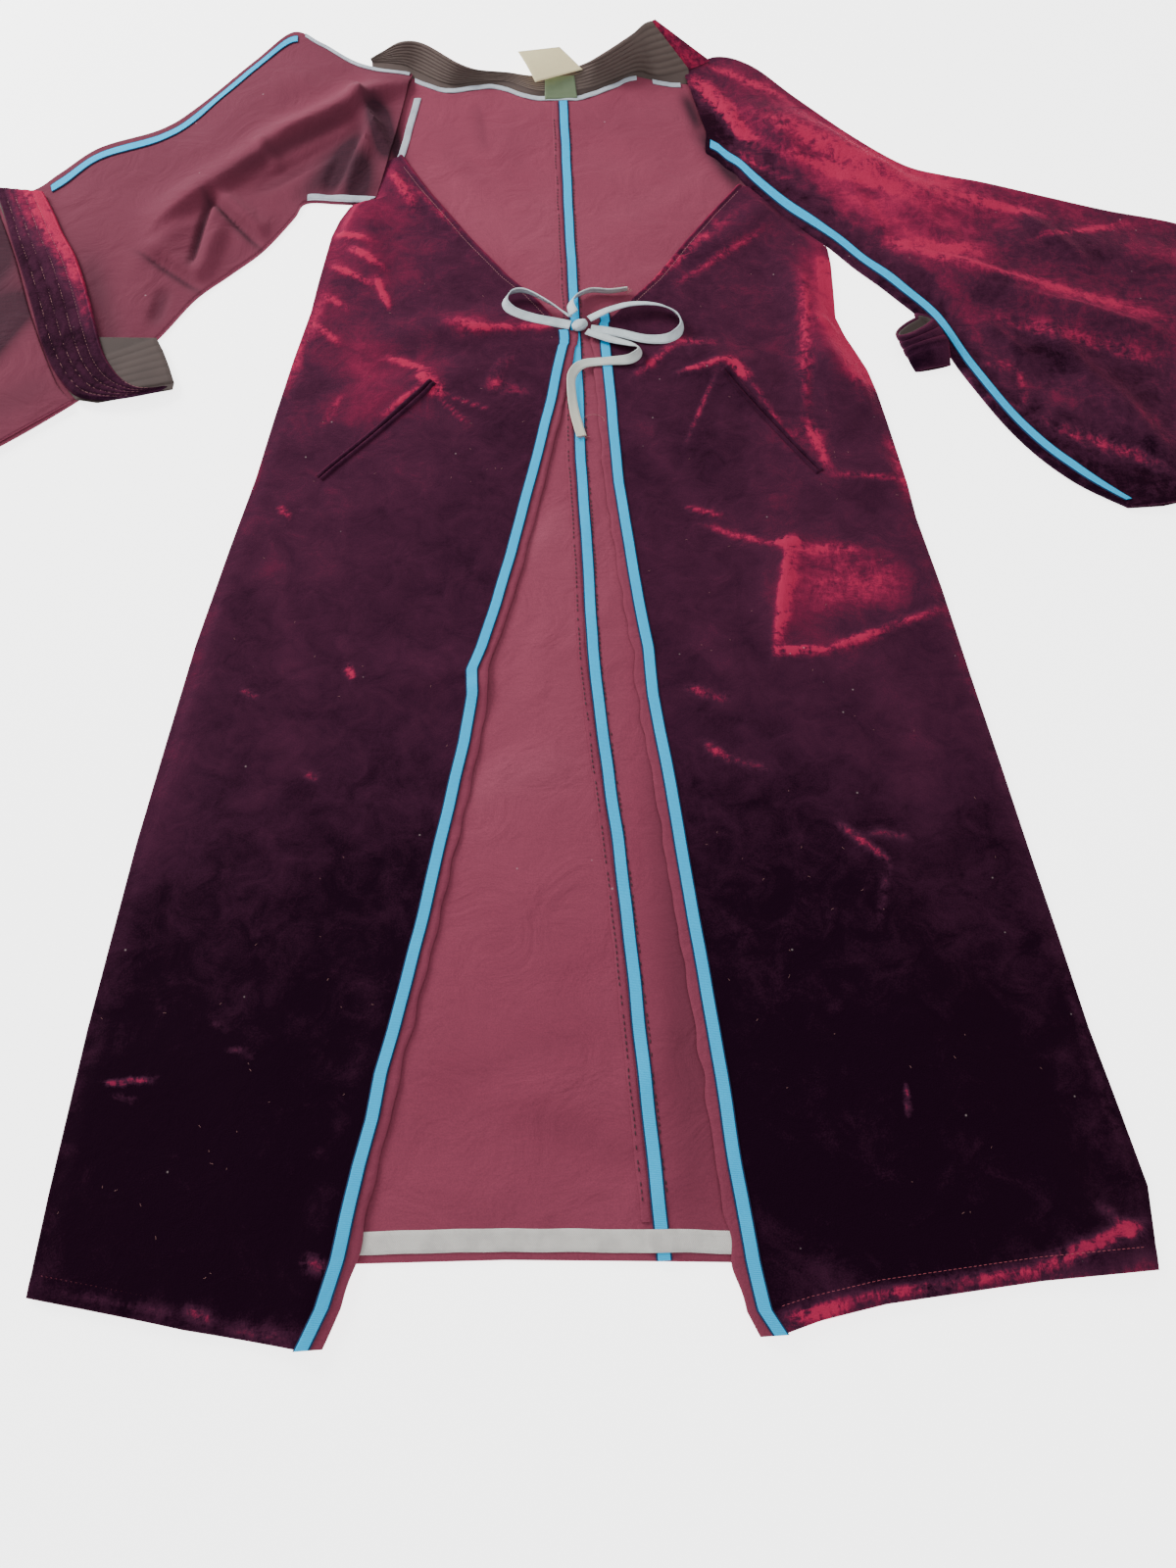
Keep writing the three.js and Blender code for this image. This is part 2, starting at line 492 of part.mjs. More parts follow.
function addBackTrims() {
  const neck = lookUp(BACK_RIGHT_NECK, "u", "y", 0.12) - BINDING_WIDTH - FOLD_GAP;
  const ribbon = (from, to, low, high) => {
    const plan = [];
    for (let k = 0; k <= TRIM_STATIONS; k += 1) {
      const y = lerp(low, high, k / TRIM_STATIONS);
      plan.push([[centreBack(y) + from, y], [centreBack(y) + to, y]]);
    }
    return plan;
  };
  const halfTape = TAPE_WIDTH / 2;
  const tape = ribbon(-halfTape, halfTape, backHem(0) + SEAM_GAP, neck);
  add("tape_back", layer(tape, () => ON_BACK, TAPE), "blueTape");
  const inside = -halfTape - FOLD_GAP;
  const stripLow = backHem(0) + HEM_TURNING + HEM_TAPE_WIDTH + ALLOWANCE_START;
  const strip = ribbon(inside - BACK_ALLOWANCE, inside, stripLow, neck);
  add("allowance_back", layer(strip, () => ON_BACK, TAPE), "wrongSide");

  // The hem tape crosses over the centre back tape.
  const crossing = [-CROSSING_REACH, -CROSSING_HALF, 0, CROSSING_HALF, CROSSING_REACH];
  const ends = { left: leftSide(0) + SIDE_ROLL + 4, right: rightSide(0) - SIDE_ROLL - 4 };
  const leftSteps = [0, 0.15, 0.3, 0.45, 0.6, 0.75, 0.9].map((t) => lerp(ends.left, -20, t));
  const rightSteps = [0.05, 0.2, 0.4, 0.6, 0.8, 1].map((t) => lerp(20, ends.right, t));
  const hemPlan = [...leftSteps, ...crossing, ...rightSteps].map((x) => [
    [x, backHem(x) + HEM_TURNING],
    [x, backHem(x) + HEM_TURNING + HEM_TAPE_WIDTH],
  ]);
  const climb = (x) => 1 - smoothstep(Math.abs(x), CROSSING_HALF, CROSSING_REACH);
  const overTape = (x) => ON_BACK + (TAPE + SEAM_GAP) * climb(x);
  add("hem_tape_back", layer(hemPlan, overTape, TAPE), "hemTape");

  // The neck binding follows the top edge of both halves of the back.
  const neckPlan = [];
  for (let k = 0; k <= NECK_BINDING_STATIONS; k += 1) {
    const t = lerp(NECK_BINDING_FROM, NECK_BINDING_TO, k / NECK_BINDING_STATIONS);
    const left = t < 0;
    const edge = lookUp(left ? BACK_LEFT_NECK : BACK_RIGHT_NECK, "u", "y", Math.abs(t));
    const x = Math.abs(t) * (left ? leftSide(edge) : rightSide(edge));
    neckPlan.push([[x, edge - BINDING_WIDTH], [x, edge - TRIM_INSET]]);
  }
  add("binding_neck", layer(neckPlan, () => ON_BACK, TAPE), "paleBinding");
  const shoulderPlan = SHOULDER_BINDING.map((t) => {
    const edge = lookUp(BACK_RIGHT_NECK, "u", "y", t);
    const x = t * rightSide(edge);
    return [[x, edge - BINDING_WIDTH], [x, edge - TRIM_INSET]];
  });
  add("binding_shoulder_right", layer(shoulderPlan, () => ON_BACK, TAPE), "paleBinding");

  // Binding of the back's left armhole seam, just inside the armhole edge.
  const armhole = ARMHOLE_BINDING.map(({ x, y }) => [
    [x - BINDING_WIDTH / 2, y],
    [x + BINDING_WIDTH / 2, y],
  ]);
  add("binding_armhole_left", layer(armhole, () => ON_BACK, TAPE), "paleBinding");
}

// Double-welt pockets: a pair of narrow welts along a slanted cut in each front.
function addPockets() {
  const pockets = [
    { name: "left", x: -170, y: 900, angle: -135 },
    { name: "right", x: 151, y: 900, angle: -60.4 },
  ];
  for (const { name, x, y, angle } of pockets) {
    const front = raised(frontPlans[name], frontUnder);
    const turn = degToRad(angle);
    const [ax, ay] = [Math.cos(turn), Math.sin(turn)];
    for (const [which, side] of [["upper", 1], ["lower", -1]]) {
      const toSide = name === "left" ? -side : side;
      const plan = [];
      for (let k = 0; k <= WELT_STATIONS; k += 1) {
        const along = (POCKET_LENGTH * k) / WELT_STATIONS;
        const row = [SEAM_GAP / 2, SEAM_GAP / 2 + WELT_WIDTH].map((reach) => [
          x + ax * along - ay * reach * toSide,
          y + ay * along + ax * reach * toSide,
        ]);
        plan.push(row);
      }
      const onFront = (px, py) => heightOn(front, px, py) + VELVET + FOLD_GAP;
      add("pocket_" + name + "_welt_" + which, layer(plan, onFront, VELVET), "velvet");
    }
  }
}

// Sleeves

// Top of the left sleeve over a place in the plan, at a share w of the way across it.
function sleeveCrown(folds, x, y, w, floor) {
  const settled = smoothstep(Math.min(w, 1 - w), 0, SLEEVE_EDGE_SHARE);
  const puff = SLEEVE_PUFF * Math.sin(Math.PI * w) ** 0.8;
  return floor + SLEEVE_EDGE_TOP + (puff + foldRise(folds, x, y)) * settled;
}

const leftSleeve = {
  rows: LEFT_SLEEVE,
  floor: () => 0,
  top(x, y, w, s) {
    const crown = sleeveCrown(LEFT_SLEEVE_FOLDS, x, y, w, 0);
    const settled = smoothstep(s, LEFT_SETTLE_FROM, LEFT_SETTLE_TO);
    return lerp(crown, Math.min(crown, LEFT_SLEEVE_END_TOP), settled);
  },
};
const rightSleeve = {
  rows: RIGHT_SLEEVE,
  floor: (s) => RIGHT_SLEEVE_LIFT * smoothstep(s, RIGHT_LIFT_FROM, RIGHT_LIFT_TO),
  top(x, y, w, s) {
    return sleeveCrown(RIGHT_SLEEVE_FOLDS, x, y, w, this.floor(s));
  },
};

// Plan place on a sleeve at a share s along it and w across it, with its top height.
function onSleeve(sleeve, s, w) {
  const x = lerp(smoothColumn(sleeve.rows, "tx", s), smoothColumn(sleeve.rows, "bx", s), w);
  const y = lerp(smoothColumn(sleeve.rows, "ty", s), smoothColumn(sleeve.rows, "by", s), w);
  return new THREE.Vector3(x, y, sleeve.top(x, y, w, s));
}

function sleeveWidth(sleeve, s) {
  return onSleeve(sleeve, s, 0).setZ(0).distanceTo(onSleeve(sleeve, s, 1).setZ(0));
}

// The shares across a sleeve where its grid has points, so that trims can share them.
const sleeveShares = [];
for (let i = 0; i <= SLEEVE_TOP_COLUMNS; i += 1) sleeveShares.push(i / SLEEVE_TOP_COLUMNS);

function sleeveTube(sleeve) {
  const outer = [];
  const inner = [];
  for (let k = 0; k <= SLEEVE_STATIONS; k += 1) {
    const s = k / SLEEVE_STATIONS;
    const inset = VELVET / sleeveWidth(sleeve, s);
    const floor = sleeve.floor(s);
    const outerRing = sleeveShares.map((w) => onSleeve(sleeve, s, w));
    const innerRing = sleeveShares.map((w) => {
      const p = onSleeve(sleeve, s, clamp(w, inset, 1 - inset));
      const top = onSleeve(sleeve, s, w).z;
      return p.setZ(top - VELVET);
    });
    for (let i = SLEEVE_FLOOR_COLUMNS; i >= 0; i -= 1) {
      const w = i / SLEEVE_FLOOR_COLUMNS;
      outerRing.push(onSleeve(sleeve, s, w).setZ(floor));
      innerRing.push(onSleeve(sleeve, s, clamp(w, inset, 1 - inset)).setZ(floor + VELVET));
    }
    outer.push(outerRing);
    inner.push(innerRing);
  }
  return ringedTube(outer, inner);
}

// A ribbon on a sleeve, between two shares of its stations and at a set reach from one of its edges.
function sleeveRibbon(sleeve, { from, to, near, reach, width, steps, lift }) {
  const plan = [];
  for (let k = 0; k <= steps; k += 1) {
    const s = lerp(from, to, k / steps);
    const across = sleeveWidth(sleeve, s);
    const row = [reach, reach + width].map((r) => {
      const w = near ? 1 - r / across : r / across;
      const p = onSleeve(sleeve, s, w);
      return p.setZ(p.z + lift);
    });
    plan.push(row);
  }
  const upper = plan.map((row) => row.map((p) => p.clone().setZ(p.z + TAPE)));
  return wall(upper, plan);
}

function addSleeves() {
  add("sleeve_left", sleeveTube(leftSleeve), "wrongSide");
  add("sleeve_right", sleeveTube(rightSleeve), "velvet");
  const tape = { width: TAPE_WIDTH, steps: 24, lift: FOLD_GAP };
  const leftTape = sleeveRibbon(leftSleeve, { ...tape, from: 0.26, to: 0.72, near: false, reach: 8 });
  add("tape_sleeve_left", leftTape, "blueTape");
  const rightTape = sleeveRibbon(rightSleeve, { ...tape, from: 0.03, to: 0.98, near: true, reach: 9 });
  add("tape_sleeve_right", rightTape, "blueTape");
  const binding = { width: BINDING_WIDTH, lift: FOLD_GAP };
  const shoulder = { from: 0.02, to: 0.235, near: false, reach: 1, steps: 10 };
  add("binding_shoulder_left", sleeveRibbon(leftSleeve, { ...binding, ...shoulder }), "paleBinding");
  const underarm = { from: 0.01, to: 0.175, near: true, reach: 1.5, steps: 8 };
  add("binding_underarm_left", sleeveRibbon(leftSleeve, { ...binding, ...underarm }), "paleBinding");

  // The stretch of the left sleeve that turns back over itself to the cuff.
  const over = LEFT_SLEEVE_END_TOP + FOLD_GAP;
  add("sleeve_left_turnback", layer(bandPlan(LEFT_TURNBACK, 6, 10), () => over, VELVET), "wrongSide");

  // The stretch of the right sleeve that turns under itself to the cuff.
  const under = [];
  for (let k = 0; k <= 10; k += 1) {
    const s = lerp(0.64, 0.99, k / 10);
    under.push([0.03, 0.3, 0.65, 0.97].map((w) => {
      const p = onSleeve(rightSleeve, s, w);
      return [p.x, p.y];
    }));
  }
  add("sleeve_right_turnunder", layer(under, () => 0, VELVET), "velvet");
}

// Cuffs and collar

// Plan points of a band between its outer and inner edges.
function bandPlan(rows, columns, stations) {
  const plan = [];
  for (let k = 0; k <= stations; k += 1) {
    const t = k / stations;
    const row = [];
    for (let i = 0; i <= columns; i += 1) {
      const u = i / columns;
      const x = lerp(smoothColumn(rows, "ox", t), smoothColumn(rows, "ix", t), u);
      const y = lerp(smoothColumn(rows, "oy", t), smoothColumn(rows, "iy", t), u);
      row.push([x, y]);
    }
    plan.push(row);
  }
  return plan;
}

// Rise of channel stitching at a share across a band: crowns between stitched lines.
const channelRise = (share, channels) => CHANNEL_RISE * Math.abs(Math.sin(Math.PI * channels * share)) ** 0.6;

function addLeftCuff() {
  const facingUnder = LEFT_SLEEVE_END_TOP + FOLD_GAP;
  const facing = bandPlan(LEFT_CUFF_FACING, 3, 12);
  add("cuff_left_facing", layer(facing, () => facingUnder, VELVET), "brownFacing");
  const cuffUnder = facingUnder + VELVET + SEAM_GAP;
  const columns = CUFF_CHANNELS * 3;
  const plan = bandPlan(LEFT_CUFF, columns, 12);
  const lower = plan.map((row) => row.map(([x, y]) => new THREE.Vector3(x, y, cuffUnder)));
  const upper = lower.map((row) => row.map((p, i) => {
    const rise = channelRise(i / columns, CUFF_CHANNELS);
    return new THREE.Vector3(p.x, p.y, cuffUnder + CUFF_THICKNESS + rise);
  }));
  add("cuff_left", wall(upper, lower), "velvet");
}

// Ring of the right cuff at x, shrunk by inset from its outer size.
function rightCuffRing(x, inset) {
  const { mouthX, y, halfWidth, halfHeight, slant } = RIGHT_CUFF;
  const around = 16;
  const ring = [];
  for (let i = 0; i < around; i += 1) {
    const turn = (2 * Math.PI * i) / around;
    const across = (halfWidth - inset) * Math.cos(turn);
    const up = halfHeight + CHANNEL_RISE + (halfHeight - inset) * Math.sin(turn);
    ring.push(new THREE.Vector3(x - across * slant, y + across + (x - mouthX) * slant, up));
  }
  return ring;
}

function addRightCuff() {
  const { mouthX, seamX } = RIGHT_CUFF;
  const steps = RIGHT_CUFF_CHANNELS * 3;
  const stations = [];
  for (let k = 0; k <= steps; k += 1) stations.push(k / steps);
  const place = (t) => lerp(mouthX, seamX, t);
  const outer = stations.map((t) => rightCuffRing(place(t), -channelRise(t, RIGHT_CUFF_CHANNELS)));
  const inner = stations.map((t) => rightCuffRing(place(t), CUFF_THICKNESS));
  add("cuff_right", ringedTube(outer, inner), "velvet");
  const ends = [0.03, 0.5, 0.97];
  const facingOuter = ends.map((t) => rightCuffRing(place(t), CUFF_THICKNESS + SEAM_GAP));
  const facingInner = ends.map((t) => rightCuffRing(place(t), CUFF_THICKNESS + SEAM_GAP + VELVET));
  add("cuff_right_facing", ringedTube(facingOuter, facingInner), "brownFacing");
}

// Place on the collar at a share t along it and u up it, moved out by a distance from its inside face.
function onCollar(t, u, out) {
  const low = ["x", "y", "z"].map((name) => smoothColumn(COLLAR, name, t));
  const high = ["topX", "topY", "topZ"].map((name) => smoothColumn(COLLAR, name, t));
  const foot = new THREE.Vector3(...low);
  const rise = new THREE.Vector3(...high).sub(foot);
  const ahead = ["x", "y", "z"].map((name) => smoothColumn(COLLAR, name, clamp(t + 0.02, 0, 1)));
  const behind = ["x", "y", "z"].map((name) => smoothColumn(COLLAR, name, clamp(t - 0.02, 0, 1)));
  const along = new THREE.Vector3(...ahead).sub(new THREE.Vector3(...behind));
  const outward = new THREE.Vector3().crossVectors(rise, along).normalize();
  if (outward.y > 0) outward.negate();
  return foot.addScaledVector(rise, u).addScaledVector(outward, out);
}

function addCollar() {
  const columns = COLLAR_CHANNELS * 2;
  const facingUpper = [];
  const facingLower = [];
  const outerUpper = [];
  const outerLower = [];
  const addOuter = (t) => {
    const coarse = [0, 0.33, 0.67, 1];
    outerUpper.push(coarse.map((u) => onCollar(t, u, -COLLAR_PADDING)));
    outerLower.push(coarse.map((u) => onCollar(t, u, -COLLAR_PADDING - VELVET)));
  };
  for (let k = 0; k <= COLLAR_STATIONS; k += 1) {
    const t = lerp(0, 1 - COLLAR_OVERHANG, k / COLLAR_STATIONS);
    const shares = [];
    for (let i = 0; i <= columns; i += 1) shares.push(i / columns);
    const rise = (u) => channelRise(u, COLLAR_CHANNELS);
    facingUpper.push(shares.map((u) => onCollar(t, u, VELVET + rise(u))));
    facingLower.push(shares.map((u) => onCollar(t, u, 0)));
    addOuter(t);
  }
  addOuter(1);
  add("collar_facing", wall(facingUpper, facingLower), "brownFacing");
  add("collar", wall(outerUpper, outerLower), "velvet");
}

// Labels: flat pieces between their four corners.
function addLabels() {
  const labels = [
    { name: "label_lower", corners: LABEL_LOWER, finish: "greenLabel" },
    { name: "label_upper", corners: LABEL_UPPER, finish: "creamLabel" },
  ];
  for (const { name, corners, finish } of labels) {
    const [nearLeft, nearRight, farRight, farLeft] = corners.map(({ x, y, z }) => new THREE.Vector3(x, y, z));
    const lower = [0, 0.5, 1].map((v) => {
      const left = nearLeft.clone().lerp(farLeft, v);
      const right = nearRight.clone().lerp(farRight, v);
      return [0, 0.5, 1].map((u) => left.clone().lerp(right, u));
    });
    const upper = lower.map((row) => row.map((p) => p.clone().setZ(p.z + TAPE)));
    add(name, wall(upper, lower), finish);
  }
}

// Tie

// A flat tape along a route: an eight-sided section, its width level and square to the route.
function flatCord(route, steps) {
  const section = [];
  const fullness = 1.1;
  for (let i = 0; i < 8; i += 1) {
    const turn = (Math.PI * (i + 0.5)) / 4;
    const wide = clamp(fullness * Math.cos(turn), -1, 1) * (TIE_WIDTH / 2);
    const thick = clamp(fullness * Math.sin(turn), -1, 1) * (TIE_THICKNESS / 2);
    section.push([wide, thick]);
  }
  const curve = new THREE.CatmullRomCurve3(route.map(({ x, y, z }) => new THREE.Vector3(x, y, z)));
  const points = [];
  for (let k = 0; k <= steps; k += 1) {
    const middle = curve.getPointAt(k / steps);
    const along = curve.getTangentAt(k / steps);
    const across = new THREE.Vector3(along.y, -along.x, 0).normalize();
    const up = new THREE.Vector3().crossVectors(across, along).normalize();
    for (const [wide, thick] of section) {
      points.push(middle.clone().addScaledVector(across, wide).addScaledVector(up, thick));
    }
  }
  const faces = [];
  const at = (k, i) => k * 8 + (i % 8);
  for (let i = 0; i < 8; i += 1) {
    for (let k = 0; k < steps; k += 1) {
      faces.push(at(k, i), at(k + 1, i + 1), at(k, i + 1), at(k, i), at(k + 1, i), at(k + 1, i + 1));
    }
    if (i > 0 && i < 7) faces.push(at(0, 0), at(0, i), at(0, i + 1));
    if (i > 0 && i < 7) faces.push(at(steps, 0), at(steps, i + 1), at(steps, i));
  }
  return closedSolid(points, faces);
}

function addTie() {
  const knot = new THREE.SphereGeometry(KNOT.radius, 12, 8);
  knot.scale(1, KNOT.shareAcross, KNOT.shareUp);
  knot.rotateZ(degToRad(KNOT.turn));
  knot.translate(KNOT.x, KNOT.y, KNOT.z);
  add("tie_knot", knot, "paleBinding");
  add("tie_loop_left", flatCord(LOOP_LEFT, 15), "paleBinding");
  add("tie_loop_right", flatCord(LOOP_RIGHT, 17), "paleBinding");
  add("tie_end_upper", flatCord(END_UPPER, 10), "paleBinding");
  add("tie_end_lower", flatCord(END_LOWER, 19), "paleBinding");
}

addBack();
addFronts();
addFrontEdges();
addBackTrims();
addPockets();
addSleeves();
addLeftCuff();
addRightCuff();
addCollar();
addLabels();
addTie();

// The origin is on the surface, under the middle of the whole robe.
const bounds = new THREE.Box3().setFromObject(robe);
const middle = bounds.getCenter(new THREE.Vector3());
robe.position.set(-middle.x, -middle.y, 0);

const model = new THREE.Group();
model.add(robe);
export default model;
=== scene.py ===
"""A floor-length velvet robe laid on its back, fronts tied once at the bust and falling open below.

Metres in the finished meshes. The tables are in millimetres on the laid cloth, from the lower end of the
centre back seam: x to the right, y from hem to neck, z up from the surface.
"""

import functools
import math

import bpy
import numpy as np
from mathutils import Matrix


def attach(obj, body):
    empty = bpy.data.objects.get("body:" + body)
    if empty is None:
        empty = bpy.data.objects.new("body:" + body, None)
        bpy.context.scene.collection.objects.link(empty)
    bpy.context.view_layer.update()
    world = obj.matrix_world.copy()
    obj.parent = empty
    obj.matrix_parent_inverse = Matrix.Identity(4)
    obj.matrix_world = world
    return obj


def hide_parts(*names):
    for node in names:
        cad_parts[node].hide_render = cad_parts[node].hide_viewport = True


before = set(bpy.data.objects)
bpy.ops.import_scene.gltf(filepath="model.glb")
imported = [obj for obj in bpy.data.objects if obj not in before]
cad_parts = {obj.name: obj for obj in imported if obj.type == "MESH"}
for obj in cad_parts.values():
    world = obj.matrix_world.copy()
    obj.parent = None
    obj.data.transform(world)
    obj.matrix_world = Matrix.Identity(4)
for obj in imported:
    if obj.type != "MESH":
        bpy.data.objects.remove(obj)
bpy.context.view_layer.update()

MM = 0.001
MIDDLE = np.array([0.0, 738.0, 0.0])  # the part's origin on the laid cloth

# Camera

camera_data = bpy.data.cameras.new("camera")
camera_data.sensor_width = 36.0
camera_data.lens = 25.99
camera_data.clip_start = 0.02
camera_data.clip_end = 50.0
camera = bpy.data.objects.new("camera", camera_data)
camera.location = (-0.0609, -0.7724, 0.950)
camera.rotation_euler = (math.radians(25.0), 0.0, math.radians(-3.75))
bpy.context.scene.collection.objects.link(camera)
bpy.context.scene.camera = camera

# Cloth thicknesses, widths and gaps, as in the solids
VELVET = 1.6
TAPE = 1.0
SEAM_GAP = 0.3
TAPE_WIDTH = 12.7
BINDING_WIDTH = 9.0
TIE_WIDTH = 11.0
TIE_THICKNESS = 1.6
CORD_SIDES = 16
HEM_TAPE_WIDTH = 17.0
POCKET_LENGTH = 172.0
ON_BACK = VELVET + SEAM_GAP
FRONT_UNDER = ON_BACK + TAPE + SEAM_GAP
SIDE_ROLL = 18.0  # how far in from the side seam a front settles down to the back
EDGE_ROUND = 2.0  # radius of a velvet edge
LAID_LOW = 6.4  # height of the left sleeve under what is turned back on it
CUFF_LOW = 8.3
SHARP = 50.0  # degrees: a steeper edge is left unsmoothed
LINT_SPECKS = 60  # on each front


# Shapes


def lerp(a, b, t):
    """Straight blend from a to b."""
    return a + (b - a) * t


def ease(value, low, high):
    """Smooth step from 0 at low to 1 at high."""
    t = np.clip((value - low) / (high - low), 0.0, 1.0)
    return t * t * (3.0 - 2.0 * t)


def through(rows, share):
    """Smooth curve through the rows of a table, read at shares of its length, as Catmull and Rom's formula."""
    rows = np.asarray(rows, float)
    place = np.clip(np.asarray(share, float), 0.0, 1.0) * (len(rows) - 1)
    i = np.minimum(place.astype(int), len(rows) - 2)
    f = (place - i)[..., None]
    a, b, c, d = (rows[np.clip(i + k, 0, len(rows) - 1)] for k in (-1, 0, 1, 2))
    return 0.5 * (2 * b + (c - a) * f + (2 * a - 5 * b + 4 * c - d) * f**2 + (3 * b - a - 3 * c + d) * f**3)


def read(rows, at):
    """Second column of a two-column table read against its first, in straight steps."""
    rows = np.asarray(rows, float)
    return np.interp(at, rows[:, 0], rows[:, 1])


def folds(rows, x, y):
    """Sum of soft ridges. Columns: x, y, angle, half length, half width, lean, height. Each is the height
    times a bell across it, narrower on one side as it leans, and a flatter bell along it."""
    total = np.zeros(np.broadcast(x, y).shape)
    for fx, fy, angle, length, width, lean, height in rows:
        turn = math.radians(angle)
        along = ((x - fx) * math.cos(turn) + (y - fy) * math.sin(turn)) / length
        across = ((y - fy) * math.cos(turn) - (x - fx) * math.sin(turn)) / width
        across = across / np.where(across > 0, 1.0 - lean, 1.0 + lean)
        total += height * np.exp(-(along**4) - across**2)
    return total


def ripple(x, y, seed, size, depth):
    """Gentle unevenness: eight crossing waves of about one size, their directions and phases from a seed."""
    chance = np.random.default_rng(seed)
    total = np.zeros(np.broadcast(x, y).shape)
    for _ in range(8):
        turn, phase = chance.uniform(0, 2 * math.pi, 2)
        step = 2 * math.pi / (size * chance.uniform(0.7, 1.5))
        total += np.sin((x * math.cos(turn) + y * math.sin(turn)) * step + phase)
    return total * depth / 3.0


def shares(count, edge=(0.0, 0.0), width=1.0):
    """Even shares from 0 to 1, with a few closer ones near each end where an edge is rounded over."""
    even = np.linspace(0.0, 1.0, count + 1)
    near = np.array([0.35, 1.0, 2.0, 3.4]) / width
    out = [even]
    if edge[0]:
        out.append(near)
    if edge[1]:
        out.append(1.0 - near)
    return np.unique(np.round(np.concatenate(out), 5))


def quads(rows, columns, ring=False):
    """Corner numbers of the faces of a grid, closed round the columns where it is a ring."""
    k, i = np.meshgrid(np.arange(rows - 1), np.arange(columns if ring else columns - 1), indexing="ij")
    right = (i + 1) % columns
    low, high = k * columns, (k + 1) * columns
    return np.stack([low + i, low + right, high + right, high + i], -1).reshape(-1, 4)


def outward(points, faces):
    """The faces turned so that they point out, by the sign of the volume that they hold."""
    first, *others = (points[faces[:, k]] for k in range(faces.shape[1]))
    volume = sum(np.einsum("ij,ij->", first, np.cross(b, c)) for b, c in zip(others, others[1:]))
    return faces[:, ::-1] if volume < 0 else faces


def piece(name, points, faces, finish, uv=None, marks=None, replaces=True):
    """A mesh from points in millimetres on the laid cloth, riding on the robe. A finish is a material and its
    slot. A piece replaces the node of its own name, apart from sewing and lint, which have none."""
    material, slot = finish
    mesh = bpy.data.meshes.new(name + "_cloth")
    mesh.vertices.add(len(points))
    mesh.vertices.foreach_set("co", ((points - MIDDLE) * MM).astype(np.float32).ravel())
    mesh.loops.add(faces.size)
    mesh.loops.foreach_set("vertex_index", faces.astype(np.int32).ravel())
    mesh.polygons.add(len(faces))
    mesh.polygons.foreach_set("loop_start", np.arange(0, faces.size, faces.shape[1], dtype=np.int32))
    mesh.update(calc_edges=True)
    mesh.polygons.foreach_set("use_smooth", np.ones(len(faces), bool))
    if uv is not None:
        layer = mesh.uv_layers.new(name="cloth")
        layer.data.foreach_set("uv", (uv[faces.ravel()] * MM).astype(np.float32).ravel())
    for label, values in (marks or {}).items():
        mesh.attributes.new(label, "FLOAT", "POINT").data.foreach_set("value", values.astype(np.float32).ravel())
    mesh.set_sharp_from_angle(angle=math.radians(SHARP))
    mesh.validate()
    mesh.materials.append(material)
    made = bpy.data.objects.new(name + "_cloth", mesh)
    bpy.context.scene.collection.objects.link(made)
    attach(made, "root")
    if replaces:
        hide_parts(name)
    return made


def wall(name, upper, lower, rims, faces, finish, uv, marks):
    """A closed wall of two grids of one size: their faces, back to back, and the rims that join them."""
    half = upper.shape[0] * upper.shape[1]
    points = np.concatenate([upper.reshape(-1, 3), lower.reshape(-1, 3)])
    faces = np.concatenate([faces, faces[:, ::-1] + half, *rims])
    marks = {label: np.tile(values.ravel(), 2) for label, values in (marks or {}).items()}
    if uv is not None:
        uv = np.concatenate([uv.reshape(half, -1)] * 2)
    return piece(name, points, outward(points, faces), finish, uv, marks)


def shell(name, top, bottom, finish, uv=None, marks=None):
    """A closed wall between an upper and a lower grid, with a rim all round."""
    rows, columns = top.shape[:2]
    at = np.arange(rows * columns).reshape(rows, columns)
    edge = np.concatenate([at[0, :-1], at[:-1, -1], at[-1, :0:-1], at[:0:-1, 0]])
    after = np.roll(edge, -1)
    rim = np.stack([after, edge, edge + at.size, after + at.size], -1)
    return wall(name, top, bottom, [rim], quads(rows, columns), finish, uv, marks)


def tube(name, outer, inner, finish, uv=None, marks=None):
    """A closed wall between outer and inner rings, open at both ends."""
    rows, columns = outer.shape[:2]
    half = rows * columns
    first = np.arange(columns)
    rims = [np.stack([np.roll(r, -1), r, r + half, np.roll(r, -1) + half], -1)
            for r in (first, first + (rows - 1) * columns)]
    rims[1] = rims[1][:, ::-1]
    return wall(name, outer, inner, rims, quads(rows, columns, ring=True), finish, uv, marks)


def capped(rings, tips):
    """Points and triangles of a run of rings, closed at each end by a fan to its tip."""
    rows, columns = rings.shape[:2]
    body = quads(rows, columns, ring=True)
    first = np.arange(columns)
    last = first + (rows - 1) * columns
    tip = np.full(columns, rows * columns)
    fans = [np.stack([tip, np.roll(first, -1), first], -1), np.stack([tip + 1, last, np.roll(last, -1)], -1)]
    points = np.concatenate([rings.reshape(-1, 3), tips])
    return points, outward(points, np.concatenate([body[:, [0, 1, 2]], body[:, [0, 2, 3]], *fans]))


def rounded(distance, radius, thickness):
    """Height of a cloth's top over its underside near a rounded edge: a quarter of an ellipse."""
    t = np.clip(distance / radius, 0.0, 1.0)
    return thickness * np.maximum(0.12, np.sqrt(1.0 - (1.0 - t) ** 2))


def grid(x, y, z):
    """Points of a grid from its three coordinates."""
    return np.stack(np.broadcast_arrays(x, y, z), -1).astype(float)


def lengthwise(points):
    """Distance along each column of a grid from its first row."""
    step = np.linalg.norm(np.diff(points[..., :2], axis=0), axis=-1)
    return np.concatenate([np.zeros((1, points.shape[1])), np.cumsum(step, 0)])


# Finishes


